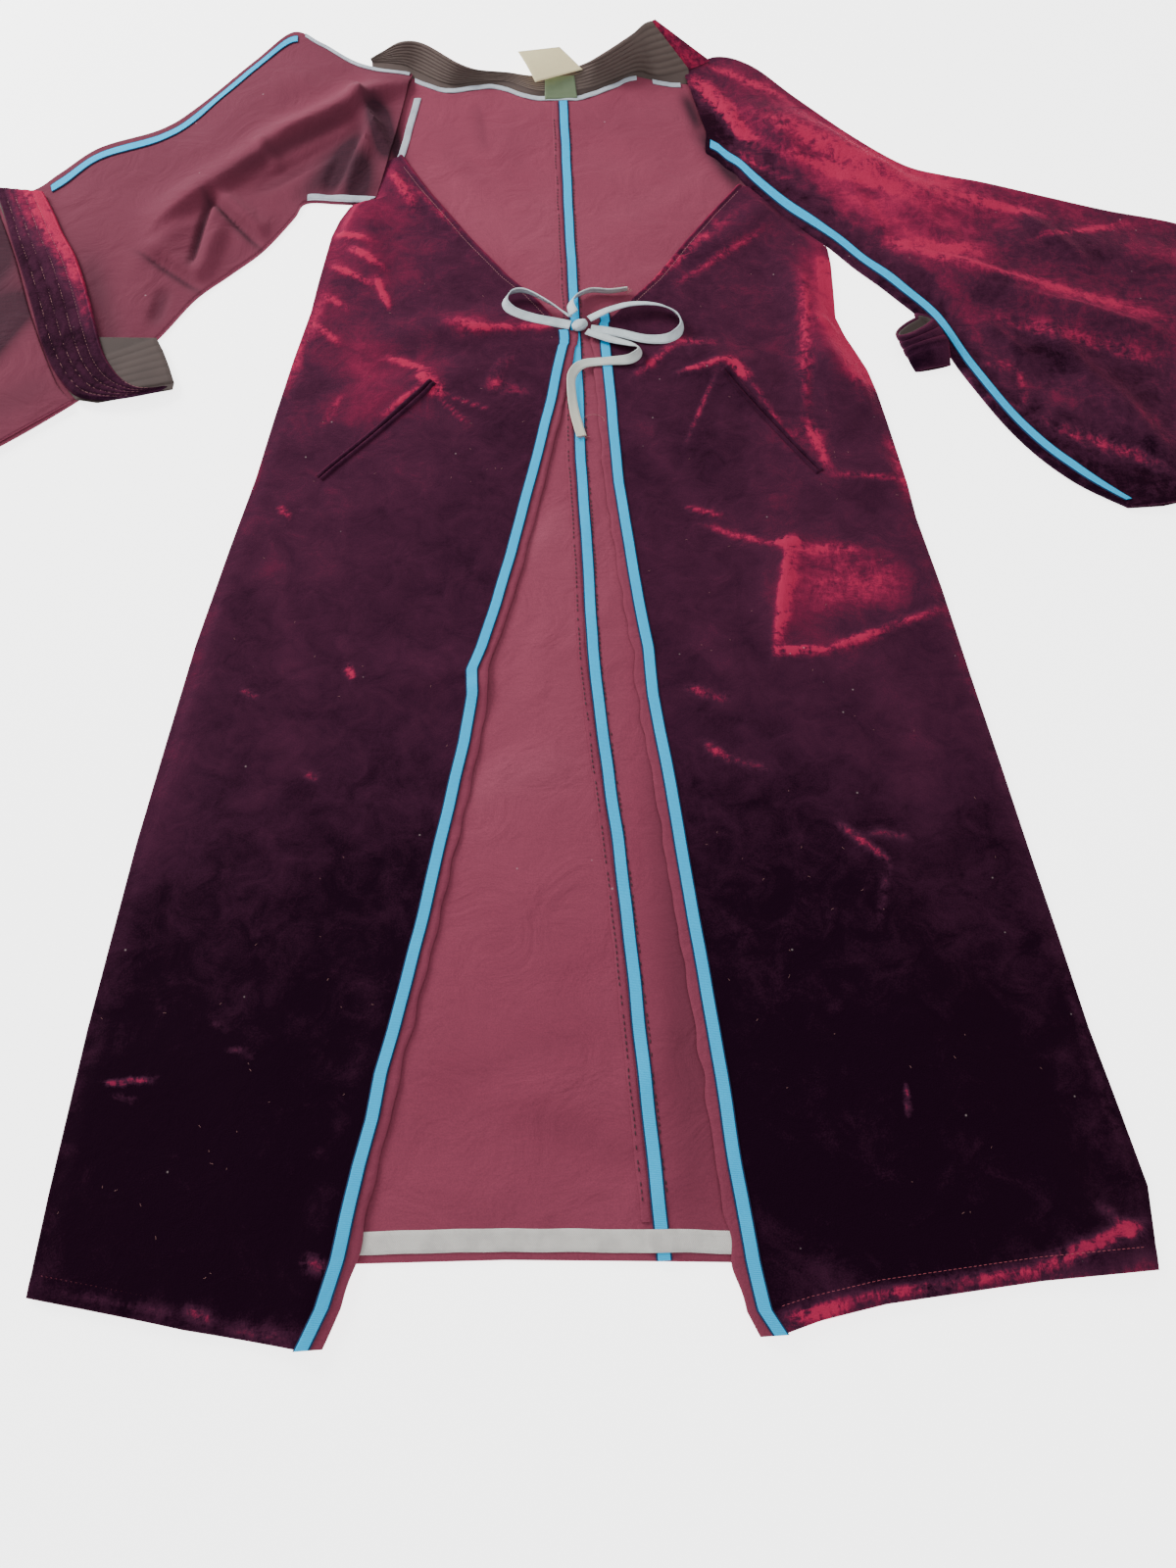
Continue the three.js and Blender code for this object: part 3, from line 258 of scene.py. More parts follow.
class Finish:
    """Adds nodes to one material's or group's tree and joins them."""

    def __init__(self, tree):
        self.tree = tree

    def node(self, kind, feeds=None, **settings):
        made = self.tree.nodes.new(kind)
        for label, value in settings.items():
            setattr(made, label, value)
        for label, value in (feeds or {}).items():
            self.feed(made.inputs[label], value)
        return made

    def feed(self, socket, value):
        if isinstance(value, bpy.types.NodeSocket):
            self.tree.links.new(value, socket)
        else:
            socket.default_value = value

    def sum(self, operation, a, b=0.0, clamp=False):
        made = self.node("ShaderNodeMath", operation=operation, use_clamp=clamp)
        self.feed(made.inputs[0], a)
        self.feed(made.inputs[1], b)
        return made.outputs[0]

    def times(self, a, b, clamp=False):
        return self.sum("MULTIPLY", a, b, clamp)

    def plus(self, a, b, clamp=False):
        return self.sum("ADD", a, b, clamp)

    def less(self, a, b):
        return self.sum("SUBTRACT", a, b)

    def ribs(self, along, pitch):
        """Sine ridges from 0 to 1, one to each pitch."""
        return self.plus(self.times(self.sum("SINE", self.times(along, 2 * math.pi / pitch)), 0.5), 0.5)

    def blend(self, factor, a, b):
        made = self.node("ShaderNodeMix", data_type="RGBA", blend_type="MIX", clamp_factor=True)
        self.feed(made.inputs[0], factor)
        self.feed(made.inputs[6], a)
        self.feed(made.inputs[7], b)
        return made.outputs[2]

    def noise(self, vector, scale, detail=3.0, roughness=0.55, distortion=0.0):
        made = self.node("ShaderNodeTexNoise", {"Vector": vector, "Scale": scale, "Detail": detail,
                                               "Roughness": roughness, "Distortion": distortion})
        return made.outputs["Fac"]

    def band(self, value, low, high, to_low=0.0, to_high=1.0):
        made = self.node("ShaderNodeMapRange", interpolation_type="SMOOTHSTEP")
        for label, v in zip(("Value", "From Min", "From Max", "To Min", "To Max"), (value, low, high, to_low, to_high)):
            self.feed(made.inputs[label], v)
        return made.outputs[0]

    def steps(self, value, stops):
        made = self.node("ShaderNodeValToRGB")
        ramp = made.color_ramp
        while len(ramp.elements) < len(stops):
            ramp.elements.new(0.5)
        for element, (place, colour) in zip(ramp.elements, stops):
            element.position = place
            element.color = (*colour, 1.0)
        self.feed(made.inputs[0], value)
        return made.outputs[0]

    def stretched(self, vector, scale, turn=0.0):
        made = self.node("ShaderNodeMapping", {"Vector": vector, "Scale": scale, "Rotation": (0.0, 0.0, turn)})
        return made.outputs[0]

    def mark(self, label):
        return self.node("ShaderNodeAttribute", attribute_name=label).outputs["Fac"]

    def place(self, group, feeds):
        made = self.node("ShaderNodeGroup")
        made.node_tree = group
        for label, value in feeds.items():
            self.feed(made.inputs[label], value)
        return made.outputs


def finish_group(name, inputs, outputs, fill):
    """A shared effect: a node group with named sockets, filled by a function of its tree and inputs."""
    group = bpy.data.node_groups.new(name, "ShaderNodeTree")
    for label, kind, value in inputs:
        socket = group.interface.new_socket(label, in_out="INPUT", socket_type=kind)
        if value is not None:
            socket.default_value = value
    for label, kind in outputs:
        group.interface.new_socket(label, in_out="OUTPUT", socket_type=kind)
    tree = Finish(group)
    source = tree.node("NodeGroupInput").outputs
    sink = tree.node("NodeGroupOutput").inputs
    for label, value in fill(tree, source).items():
        tree.feed(sink[label], value)
    return group


NUMBER, VECTOR = "NodeSocketFloat", "NodeSocketVector"


def fill_weave(t, i):
    """Plain weave: sine waves of the two threads multiplied and raised, with uneven yarns and slubs."""
    parts = t.node("ShaderNodeSeparateXYZ", {"Vector": i["Vector"]}).outputs
    wobble = t.times(t.noise(i["Vector"], 180.0, 2.0), 2.5)
    warp = t.sum("SINE", t.plus(t.times(parts["X"], i["Warp"]), wobble))
    weft = t.sum("SINE", t.plus(t.times(parts["Y"], i["Weft"]), wobble))
    height = t.plus(t.times(warp, 0.35), t.times(weft, 0.5))
    slub = t.noise(t.stretched(i["Vector"], (60.0, 900.0, 60.0)), 1.0, 2.0)
    return {"Height": t.plus(t.times(height, 0.5), 0.5), "Slub": slub}


weave = finish_group("weave", [("Vector", VECTOR, None), ("Warp", NUMBER, 9000.0), ("Weft", NUMBER, 9000.0)],
                     [("Height", NUMBER), ("Slub", NUMBER)], fill_weave)


def fill_lint(t, i):
    """Lint: small pale specks where a fine cell pattern comes close to its centres, in some cells only."""
    cells = t.node("ShaderNodeTexVoronoi", {"Vector": i["Vector"], "Scale": i["Scale"], "Randomness": 1.0})
    pick = t.node("ShaderNodeSeparateXYZ", {"Vector": cells.outputs["Color"]}).outputs
    near = t.band(cells.outputs["Distance"], 0.09, 0.04)
    few = t.sum("GREATER_THAN", pick["X"], i["Sparse"])
    return {"Mask": t.times(near, few)}


lint = finish_group("lint", [("Vector", VECTOR, None), ("Scale", NUMBER, 90.0), ("Sparse", NUMBER, 0.9)],
                    [("Mask", NUMBER)], fill_lint)


def fill_nap(t, i):
    """Pile laid this way and that: broad clouds, finer haze, and branching veins, bright where it is crushed.
    A vein is where a noise crosses its middle value: one less its distance from it, to a high power."""
    cloud = t.noise(i["Vector"], 8.0, 3.0, 0.6, 0.6)
    haze = t.noise(i["Vector"], 34.0, 7.0, 0.66, 0.7)
    fine = t.noise(t.stretched(i["Vector"], (150.0, 70.0, 150.0), 0.4), 1.0, 5.0, 0.68, 0.5)
    veins = []
    for vector, scale, narrow, power in ((i["Vector"], 20.0, 5.5, 3.0),
                                         (t.stretched(i["Vector"], (34.0, 90.0, 80.0), 0.45), 1.0, 4.5, 3.0)):
        wave = t.noise(vector, scale, 7.0, 0.62, 1.1)
        ridge = t.less(1.0, t.times(t.sum("ABSOLUTE", t.less(wave, 0.5)), narrow))
        veins.append(t.sum("POWER", t.sum("MAXIMUM", ridge, 0.0), power))
    vein = t.plus(t.times(veins[0], 0.6), t.times(veins[1], 0.5))
    broken = t.band(fine, 0.46, 0.55)
    body = t.plus(t.times(broken, 0.62), t.times(vein, 1.2))
    body = t.plus(body, t.times(t.less(haze, 0.5), 1.5))
    sharp = t.times(t.sum("POWER", t.sum("MAXIMUM", i["Crush"], 0.0), 1.5), 1.35)
    crushed = t.times(sharp, t.sum("MAXIMUM", t.plus(body, 0.08), 0.0), clamp=True)
    fuzz = t.noise(i["Vector"], 800.0, 2.0, 0.75)
    return {"Cloud": cloud, "Haze": haze, "Vein": vein, "Crushed": crushed, "Fuzz": fuzz}


tone_and_painted_light = finish_group("tone_and_painted_light", [("Vector", VECTOR, None), ("Crush", NUMBER, 0.0)],
                   [(k, NUMBER) for k in ("Cloud", "Haze", "Vein", "Crushed", "Fuzz")], fill_nap)


def material(name, roughness=0.85, specular=0.2, sheen=0.0, sheen_tint=(1, 1, 1, 1), sheen_roughness=0.5):
    """A new cloth material with its Principled BSDF, and the tools that fill it."""
    made = bpy.data.materials.new(name)
    made.use_nodes = True
    bsdf = made.node_tree.nodes["Principled BSDF"]
    bsdf.inputs["Roughness"].default_value = roughness
    bsdf.inputs["Specular IOR Level"].default_value = specular
    bsdf.inputs["Sheen Weight"].default_value = sheen
    bsdf.inputs["Sheen Roughness"].default_value = sheen_roughness
    bsdf.inputs["Sheen Tint"].default_value = sheen_tint
    t = Finish(made.node_tree)
    where = t.node("ShaderNodeTexCoord").outputs
    return made, t, bsdf.inputs, where


def bump(t, height, distance, strength=1.0, under=None):
    """Normal from a height, laid over another normal where there is one."""
    feeds = {"Height": height, "Distance": distance, "Strength": strength}
    if under is not None:
        feeds["Normal"] = under
    return t.node("ShaderNodeBump", feeds).outputs["Normal"]


def on_tape(t, where):
    """Distances along and across a tape, in metres, from its own UV map."""
    parts = t.node("ShaderNodeSeparateXYZ", {"Vector": where["UV"]}).outputs
    return parts["X"], parts["Y"]


def velvet_finish():
    """Silk velvet: near black where the pile stands to the eye, smoky plum where it lies over, crimson where
    it is crushed."""
    made, t, bsdf, where = material("crushed velvet", 0.9, 0.04, 0.12, (1.0, 0.12, 0.25, 1), 0.4)
    spot = where["Object"]
    parts = t.place(tone_and_painted_light, {"Vector": spot, "Crush": t.mark("crush")})
    relief = t.plus(parts["Haze"], t.times(parts["Crushed"], 0.35))
    broad = bump(t, relief, 0.004, 0.45)
    facing = t.node("ShaderNodeLayerWeight", {"Blend": 0.42, "Normal": broad}).outputs["Facing"]
    level = t.times(t.sum("POWER", facing, 1.5), 0.44)
    for part, middle, share in (("Cloud", 0.5, 0.35), ("Haze", 0.5, 0.5), ("Crushed", 0.0, 0.85),
                                ("Fuzz", 0.5, 0.32), ("Vein", 0.0, 0.04)):
        level = t.plus(level, t.times(t.less(parts[part], middle), share))
    # The per-point tone adds to the pile's own patches a painted sheen, brighter towards the neck and by the sides and
    # edges, and painted shade in set places.
    level = t.plus(level, t.mark("tone_and_painted_light"), clamp=True)
    colour = t.steps(level, [(0.0, (0.0085, 0.0012, 0.0075)), (0.2, (0.034, 0.0075, 0.023)),
                             (0.4, (0.058, 0.0125, 0.034)), (0.6, (0.13, 0.013, 0.042)),
                             (0.8, (0.24, 0.017, 0.058)), (1.0, (0.4, 0.022, 0.072))])
    speck = t.place(lint, {"Vector": spot, "Scale": 75.0, "Sparse": 0.93})["Mask"]
    t.feed(bsdf["Base Color"], t.blend(t.times(speck, 0.3), colour, (0.62, 0.5, 0.5, 1)))
    t.feed(bsdf["Normal"], bump(t, parts["Fuzz"], 0.0012, 0.5, broad))
    return made


def wrong_side_finish():
    """The velvet's dull woven back: dusty maroon, paler where the per-point tone paints a highlight on a rise and
    darker where it paints shade in a hollow.
    """
    made, t, bsdf, where = material("velvet's woven back", 0.85, 0.08, 0.1, (0.9, 0.45, 0.55, 1), 0.5)
    spot = where["Object"]
    threads = t.place(weave, {"Vector": spot, "Warp": 7200.0, "Weft": 7600.0})
    cloud = t.noise(spot, 7.0, 3.0, 0.55, 0.4)
    crinkle = t.noise(spot, 17.0, 5.0, 0.55, 1.1)
    base = t.blend(cloud, (0.24, 0.042, 0.078, 1), (0.31, 0.06, 0.105, 1))
    # The per-point tone pales the cloth above zero and darkens it below: mostly painted highlights on fold crests and
    # painted shade in hollows and creases.
    tone = t.mark("tone_and_painted_light")
    base = t.blend(tone, base, (0.46, 0.12, 0.18, 1))
    base = t.blend(t.times(tone, -1.0), base, (0.016, 0.007, 0.014, 1))
    grain = t.noise(spot, 900.0, 2.0, 0.7)
    base = t.blend(t.times(t.less(grain, 0.35), 0.9), base, (0.07, 0.012, 0.03, 1))
    base = t.blend(t.times(threads["Slub"], 0.35), base, (0.12, 0.03, 0.05, 1))
    speck = t.place(lint, {"Vector": spot, "Scale": 60.0, "Sparse": 0.95})["Mask"]
    t.feed(bsdf["Base Color"], t.blend(t.times(speck, 0.3), base, (0.6, 0.45, 0.48, 1)))
    soft = bump(t, crinkle, 0.009, 0.42)
    t.feed(bsdf["Normal"], bump(t, threads["Height"], 0.0002, 0.35, soft))
    return made


def grosgrain_finish():
    """Blue grosgrain: ribs across the tape, a dark woven edge each side, a little wear."""
    made, t, bsdf, where = material("blue grosgrain", 0.75, 0.06)
    along, across = on_tape(t, where)
    rib = t.ribs(along, 0.00135)
    edge = t.band(t.sum("ABSOLUTE", across), 0.0047, 0.0051)
    tone = t.noise(where["Object"], 26.0, 3.0)
    blue = t.blend(tone, (0.0, 0.4, 0.82, 1), (0.0, 0.52, 0.94, 1))
    blue = t.blend(t.times(rib, 0.3), blue, (0.0, 0.66, 1.0, 1))
    dark = t.blend(t.noise(where["Object"], 900.0, 2.0), (0.012, 0.02, 0.06, 1), (0.03, 0.05, 0.12, 1))
    t.feed(bsdf["Base Color"], t.blend(edge, blue, dark))
    t.feed(bsdf["Normal"], bump(t, rib, 0.0003, 0.6))
    return made


def woven_tape_finish(name, light, dark, pitch, twill):
    """Pale woven tape: herringbone or plain ridges along its width, soiled a little."""
    made, t, bsdf, where = material(name, 0.85, 0.25)
    along, across = on_tape(t, where)
    fold = t.sum("PINGPONG", across, 0.002)
    ridge = t.plus(along, t.times(fold, twill))
    ridge = t.ribs(ridge, pitch)
    soil = t.noise(where["Object"], 55.0, 4.0, 0.6)
    colour = t.blend(t.band(soil, 0.35, 0.75), light, dark)
    colour = t.blend(t.times(ridge, 0.22), colour, (0.55, 0.56, 0.58, 1))
    t.feed(bsdf["Base Color"], colour)
    t.feed(bsdf["Normal"], bump(t, ridge, 0.00035, 0.6))
    return made


def facing_finish():
    """Brown facing cloth: fine weave, paler on the padded crowns of the channels, and darker where the per-point tone
    paints shade in grooves and inside the rolled cuff.
    """
    made, t, bsdf, where = material("brown facing cloth", 0.78, 0.25, 0.1, (0.8, 0.7, 0.65, 1), 0.5)
    threads = t.place(weave, {"Vector": where["Object"], "Warp": 8000.0, "Weft": 8400.0})
    cloud = t.noise(where["Object"], 30.0, 3.0)
    base = t.blend(cloud, (0.05, 0.033, 0.031, 1), (0.09, 0.064, 0.058, 1))
    base = t.blend(t.times(t.mark("tone_and_painted_light"), 0.75), base, (0.19, 0.145, 0.125, 1))
    base = t.blend(t.times(t.mark("tone_and_painted_light"), -1.0), base, (0.02, 0.013, 0.012, 1))
    t.feed(bsdf["Base Color"], base)
    t.feed(bsdf["Normal"], bump(t, threads["Height"], 0.0002, 0.4))
    return made


def label_finish(name, ground, thread):
    """A blank woven label: close satin weave with a faint grain."""
    made, t, bsdf, where = material(name, 0.6, 0.35)
    threads = t.place(weave, {"Vector": where["Object"], "Warp": 6000.0, "Weft": 14000.0})
    soil = t.noise(where["Object"], 120.0, 4.0)
    colour = t.blend(t.times(soil, 0.6), ground, thread)
    t.feed(bsdf["Base Color"], t.blend(t.times(threads["Slub"], 0.3), colour, thread))
    t.feed(bsdf["Normal"], bump(t, threads["Height"], 0.0002, 0.5))
    return made


def tie_finish():
    """Flat cotton tie tape: fine lengthwise ribs, whitish blue, yellowed towards the free ends."""
    made, t, bsdf, where = material("cotton tie tape", 0.85, 0.1)
    along, across = on_tape(t, where)
    rib = t.ribs(across, 0.0011)
    cross = t.ribs(along, 0.0009)
    soil = t.noise(where["Object"], 70.0, 4.0, 0.6)
    colour = t.blend(t.band(soil, 0.3, 0.75), (0.66, 0.76, 0.82, 1), (0.48, 0.57, 0.62, 1))
    colour = t.blend(t.mark("tone_and_painted_light"), colour, (0.68, 0.66, 0.52, 1))
    colour = t.blend(t.times(rib, 0.15), colour, (0.8, 0.84, 0.85, 1))
    line = t.sum("ABSOLUTE", t.less(t.sum("ABSOLUTE", across), 0.0041))
    line = t.band(line, 0.0006, 0.0001)
    t.feed(bsdf["Base Color"], t.blend(t.times(line, 0.4), colour, (0.25, 0.3, 0.34, 1)))
    t.feed(bsdf["Normal"], bump(t, t.plus(rib, t.times(cross, 0.5)), 0.0003, 0.5))
    return made


def thread_finish(name, colour, shade):
    """Sewing thread: twisted, so that it darkens and lightens along its length."""
    made, t, bsdf, where = material(name, 0.6, 0.35)
    twist = t.noise(where["Object"], 2400.0, 2.0)
    t.feed(bsdf["Base Color"], t.blend(twist, colour, shade))
    t.feed(bsdf["Normal"], bump(t, twist, 0.0002, 0.5))
    return made


# Each finish with its slot
velvet = velvet_finish(), "velvet"
wrong_side = wrong_side_finish(), "wrong_side"
grosgrain = grosgrain_finish(), "blue_tape"
pale_binding = (woven_tape_finish("pale binding tape", (0.50, 0.56, 0.64, 1), (0.38, 0.42, 0.5, 1), 0.0011, 0.0),
                "pale_binding")
hem_tape = (woven_tape_finish("herringbone hem tape", (0.72, 0.69, 0.65, 1), (0.58, 0.55, 0.52, 1), 0.0016, 1.0),
            "hem_tape")
facing = facing_finish(), "brown_facing"
cream_label = label_finish("cream label cloth", (0.95, 0.84, 0.5, 1), (0.8, 0.7, 0.4, 1)), "cream_label"
green_label = label_finish("green label cloth", (0.10, 0.15, 0.075, 1), (0.2, 0.25, 0.16, 1)), "green_label"
tie_cloth = tie_finish(), "tie_tape"
crimson_thread = thread_finish("crimson thread", (0.30, 0.035, 0.06, 1), (0.45, 0.10, 0.13, 1)), "velvet"
dark_thread = thread_finish("dark thread", (0.018, 0.008, 0.012, 1), (0.05, 0.02, 0.03, 1)), "wrong_side"
tan_thread = thread_finish("tan thread", (0.3, 0.13, 0.13, 1), (0.42, 0.2, 0.19, 1)), "velvet"
frayed_thread = tan_thread[0], "tie_tape"

# Tables on the laid cloth

RIGHT_SIDE = (  # y, x
    (-60, 379), (-33, 380), (27, 388), (88, 381), (153, 373), (231, 367), (314, 360), (403, 353), (498, 345),
    (602, 337), (688, 328), (733, 327), (814, 321), (860, 317), (893, 312), (925, 302), (946, 295), (975, 289),
    (1015, 293), (1060, 297), (1088, 297), (1115, 275), (1158, 245), (1200, 216), (1240, 197), (1270, 183),
    (1340, 172), (1430, 161),
)
CENTRE_BACK = (  # y, x
    (-10, 0), (66, -1), (140, -3), (240, -5), (351, -9), (447, -14), (551, -18), (690, -15), (786, -15),
    (885, -11), (1029, -8), (1187, -5), (1385, 0),
)
LEFT_OPENING = (  # y, x
    (-60, -282), (-46, -275), (-19, -261), (13, -251), (82, -236), (118, -226), (155, -219), (193, -208),
    (275, -187), (362, -167), (456, -145), (506, -136), (533, -136), (559, -126), (613, -109), (669, -93),
    (728, -78), (789, -62), (854, -46), (921, -31), (965, -21), (985, -27), (1030, -54), (1063, -81),
    (1132, -125), (1211, -171), (1285, -207),
)
RIGHT_OPENING = (  # y, x
    (-62, 84), (-42, 73), (-8, 68), (61, 63), (136, 60), (216, 55), (302, 49), (394, 44), (494, 36), (547, 36),
    (603, 31), (660, 28), (751, 23), (849, 22), (917, 21), (975, 19), (1003, 45), (1045, 84), (1091, 118),
    (1147, 159), (1179, 186), (1204, 206),
)
BACK_LEFT_HEM = ((0, -3), (0.25, 6), (0.5, 11), (1, 4))  # u, y
BACK_RIGHT_HEM = ((0, -3), (0.5, -18), (1, -33))  # u, y
FRONT_LEFT_HEM = ((0, -47), (0.45, -27), (1, 3))  # u, y
FRONT_RIGHT_HEM = ((0, -60), (0.12, -52), (0.3, -44), (0.7, -36), (1, -34))  # u, y
FRONT_LEFT_TOP = ((0, 1283), (1, 1275))  # u, y
FRONT_RIGHT_TOP = ((0, 1202), (1, 1199))  # u, y
FRONT_FOLDS = (  # x, y, angle, length, width, lean, height
    (-175, 905, 15, 75, 24, 0, 4), (-150, 985, 8, 95, 24, 0, 5), (-250, 1140, 100, 65, 24, 0, 6),
    (-160, 522, 170, 75, 24, 0, 4), (-330, 250, 98, 240, 50, 0, 5), (-275, -20, 72, 90, 24, 0, 3),
    (258, 955, 97, 100, 22, 0, 12), (285, 880, 125, 55, 20, 0, 7), (285, 745, 3, 60, 22, 0, 3),
    (150, 915, 155, 65, 24, 0, 4), (175, 610, 80, 65, 24, 0, 4), (215, 300, 94, 260, 55, 0, 5),
    (330, 10, 112, 70, 24, 0, 4), (190, 1120, 40, 65, 24, 0, 6),
)
RIGHT_SLEEVE_FOLDS = (  # x, y, angle, length, width, lean, height
    (510, 985, -28, 150, 30, 0, 9), (345, 1245, -47, 120, 24, 0, 11), (262, 1290, -60, 60, 20, 0, 7),
    (560, 830, -62, 90, 24, 0, 6), (640, 1040, -20, 120, 34, 0, 5),
)
LEFT_SLEEVE = (  # tx, ty, bx, by
    (-195.6, 1440, -242.6, 1197), (-263, 1468, -284, 1203), (-313, 1513, -323, 1206), (-352, 1536, -337, 1180),
    (-400, 1478, -370, 1128), (-469, 1388, -406, 1091), (-512, 1348, -444, 1053), (-585, 1318, -482, 993),
    (-632, 1270, -528, 938), (-680, 1236, -562, 906), (-735, 1212, -620, 860), (-788, 1185, -690, 812),
)
LEFT_TURNBACK = (  # ox, oy, ix, iy
    (-800, 1196, -704, 1243), (-786, 1130, -668, 1153), (-768, 1050, -647, 1093), (-748, 960, -625, 1028),
    (-730, 880, -586, 932), (-706, 796, -564, 901),
)
LABEL_LOWER = ((-24, 1378, 3.2), (18, 1378, 3.2), (16, 1410, 12.2), (-22, 1410, 12.2))  # x, y, z
LABEL_UPPER = ((-35, 1392, 17.5), (27, 1413, 17.5), (-1, 1442, 29.5), (-55, 1436, 29.5))  # x, y, z
ARMHOLE_BINDING = (  # y, x
    (1256, -214), (1274, -210.5), (1290, -206), (1315, -201), (1340, -197), (1365, -192), (1392, -187),
)
FRONT_CREASES = (  # x, y, angle, half length, half width, lean, height
    (281, 955, -28, 22, 8, 0.4, 3), (246, 936, -97, 100, 8, 0.5, 3.0), (188, 663, 10, 13, 6, 0, 1.5),
    (192, 848, -69, 40, 6, 0, 1.5), (127, 906, 13, 30, 6, 0.3, 2.5), (150, 912, -56, 18, 7, 0, 2),
    (79, 922, 41, 35, 7, 0.2, 1.6), (108, 708, -21, 21, 5, 0, 1.2), (173, 598, -104, 63, 8, -0.5, 2.5),
    (185, 535, -3, 26, 6, 0.5, 2), (242, 545, 19, 33, 7, 0.4, 2), (302, 565, 18, 31, 6, 0.3, 2),
    (210, 329, -44, 29, 6, 0, 1.5), (89, 432, -43, 17, 6, 0, 1.5), (310, 899, -77, 42, 8, 0, 3),
    (-173, 899, -50, 20, 8, 0, 2), (-196, 930, -28, 28, 7, 0.3, 2.2), (-78, 978, 1, 52, 8, 0.2, 2),
    (-131, 983, -20, 26, 9, 0, 2.5), (-263, 1135, -26, 22, 7, 0, 2.5), (-246, 1099, -42, 26, 7, 0, 2.5),
    (-262, 1074, -36, 30, 7, 0, 2.2), (-228, 1045, -72, 25, 7, 0, 2), (-137, 873, -26, 33, 6, 0, 1.6),
    (-148, 860, -52, 24, 6, 0, 1.4), (-203, 879, 41, 28, 7, 0.3, 1.8), (-97, 915, -113, 31, 10, 0, 1.6),
    (-325, 735, -49, 11, 5, 0, 1.2), (-204, 1216, -67, 39, 9, 0, 2.5), (-165, 1179, -57, 53, 8, 0, 2),
    (-289, 983, -49, 21, 6, 0, 2), (-150, 520, 20, 22, 8, 0, -1.6),
)
BACK_FOLDS = (  # x, y, angle, half length, half width, lean, height
    (-66, 698, 39, 37, 16, 0, 2.6), (-99, 425, 13, 52, 20, 0, 3.2), (25, 495, 46, 21, 14, 0, 2.6),
    (0, 597, 46, 30, 14, 0, 1.8), (-108, 287, -145, 43, 22, 0, 2.4), (-90, 130, 13, 42, 24, 0, 2.2),
    (9, 152, -122, 36, 18, 0, 2.2), (-1, 45, -152, 28, 18, 0, 2.0), (-156, 55, -14, 40, 22, 0, 2.4),
    (-71, 535, -105, 45, 14, 0, 1.8), (-7, 720, -101, 51, 12, 0, 1.6), (-19, 853, -123, 32, 12, 0, 1.8),
    (-82, 1191, -42, 70, 26, 0, 2.0), (85, 1269, -56, 58, 20, 0, 2.0), (-57, 1072, -49, 34, 14, 0, 1.6),
)
# Tone of the back's wrong side: painted highlights on the crests of its folds, painted shade in the armhole hollows and
# on the strip beside the right front, and a few faint darker patches.
BACK_SHADE_AND_TONES = (  # x, y, angle, half length, half width, lean, paleness
    (-66, 690, 39, 45, 18, 0, 0.2), (-99, 418, 13, 60, 22, 0, 0.2), (-60, 1150, -42, 90, 50, 0, 0.15),
    (60, 1250, -56, 70, 30, 0, 0.06), (-60, 1320, 0, 160, 60, 0, -0.08), (100, 1330, 0, 90, 50, 0, -0.08),
    (-80, 520, -100, 220, 90, 0, 0.16), (-110, 160, 14, 70, 20, 0, -0.12), (-60, 95, -24, 60, 16, 0, -0.14),
    (-30, 250, 40, 50, 18, 0, -0.08), (-120, 1240, -60, 60, 14, 0, -0.12), (90, 1180, 30, 70, 16, 0, 0.1),
    (-90, 1090, 20, 60, 16, 0, -0.08), (-105, 1330, -85, 40, 8, 0.5, -0.22), (60, 1060, 24, 50, 12, 0, 0.08),
    (190, 1250, -70, 60, 14, 0, -1.2), (162, 1345, -80, 34, 9, 0, -1.0), (-217, 1318, -81, 56, 10, 0, -1.3),
    (30, 1004, -138, 32, 8, 0, -0.2), (46, 330, -93, 330, 30, 0, -0.5), (-70, 1240, -94, 90, 24, 0, -0.12),
)
PAINTED_SHEEN_UP = (  # y, brightness of the pile: painted sheen, darker by the hem and brighter towards the neck
    (-60, 0.0), (0, -0.12), (150, -0.14), (300, 0.02), (450, 0.14), (600, 0.16), (950, 0.16), (1150, 0.2),
    (1290, 0.22),
)
CRUSH_UP = (  # y, crushing of the pile
    (-60, 0.1), (0, 0.0), (300, 0.0), (600, 0.02), (800, 0.05), (950, 0.1), (1150, 0.12), (1290, 0.12),
)
# Paler and darker patches of the pile: much of it painted sheen on folds and broad slopes, and the last row a painted
# shadow by the right armhole.
PILE_SHEEN_AND_SHADE_PATCHES = (  # x, y, angle, half length, half width, lean, brightness
    (240, 610, 0, 70, 40, 0, 0.25), (200, 560, -60, 60, 30, 0, 0.15), (290, 980, -90, 90, 30, 0, 0.3),
    (-255, 1110, -45, 90, 50, 0, 0.22), (-200, 930, -30, 60, 40, 0, 0.14), (-95, 985, 0, 60, 22, 0, 0.2),
    (-230, 760, 100, 330, 150, 0, 0.09), (200, 760, 82, 330, 150, 0, 0.11), (200, 100, 90, 200, 200, 0, 0.05),
    (-330, 100, 90, 200, 200, 0, 0.03), (120, 800, 70, 100, 40, 0, -0.1), (-120, 760, 70, 110, 36, 0, -0.08),
    (-239, 1183, -4, 44, 26, 0, 0.2), (-256, 950, -68, 106, 30, 0, 0.16), (-258, 868, -4, 64, 22, 0, 0.12),
    (-332, 635, -77, 110, 18, 0, 0.1), (-412, 468, -97, 133, 16, 0, 0.1), (282, 990, -89, 101, 22, 0, 0.2),
    (71, 786, -66, 53, 16, 0, 0.12), (119, 698, -57, 47, 16, 0, 0.12), (100, 534, -55, 43, 22, 0, 0.1),
    (269, 412, -88, 122, 30, 0, 0.12), (73, 28, -77, 67, 14, 0, 0.08), (-255, 106, -102, 130, 14, 0, 0.08),
    (339, 120, -79, 123, 20, 0, 0.1), (131, -27, -37, 38, 14, 0, 0.14), (257, 1143, -46, 39, 14, 0, -0.35),
)
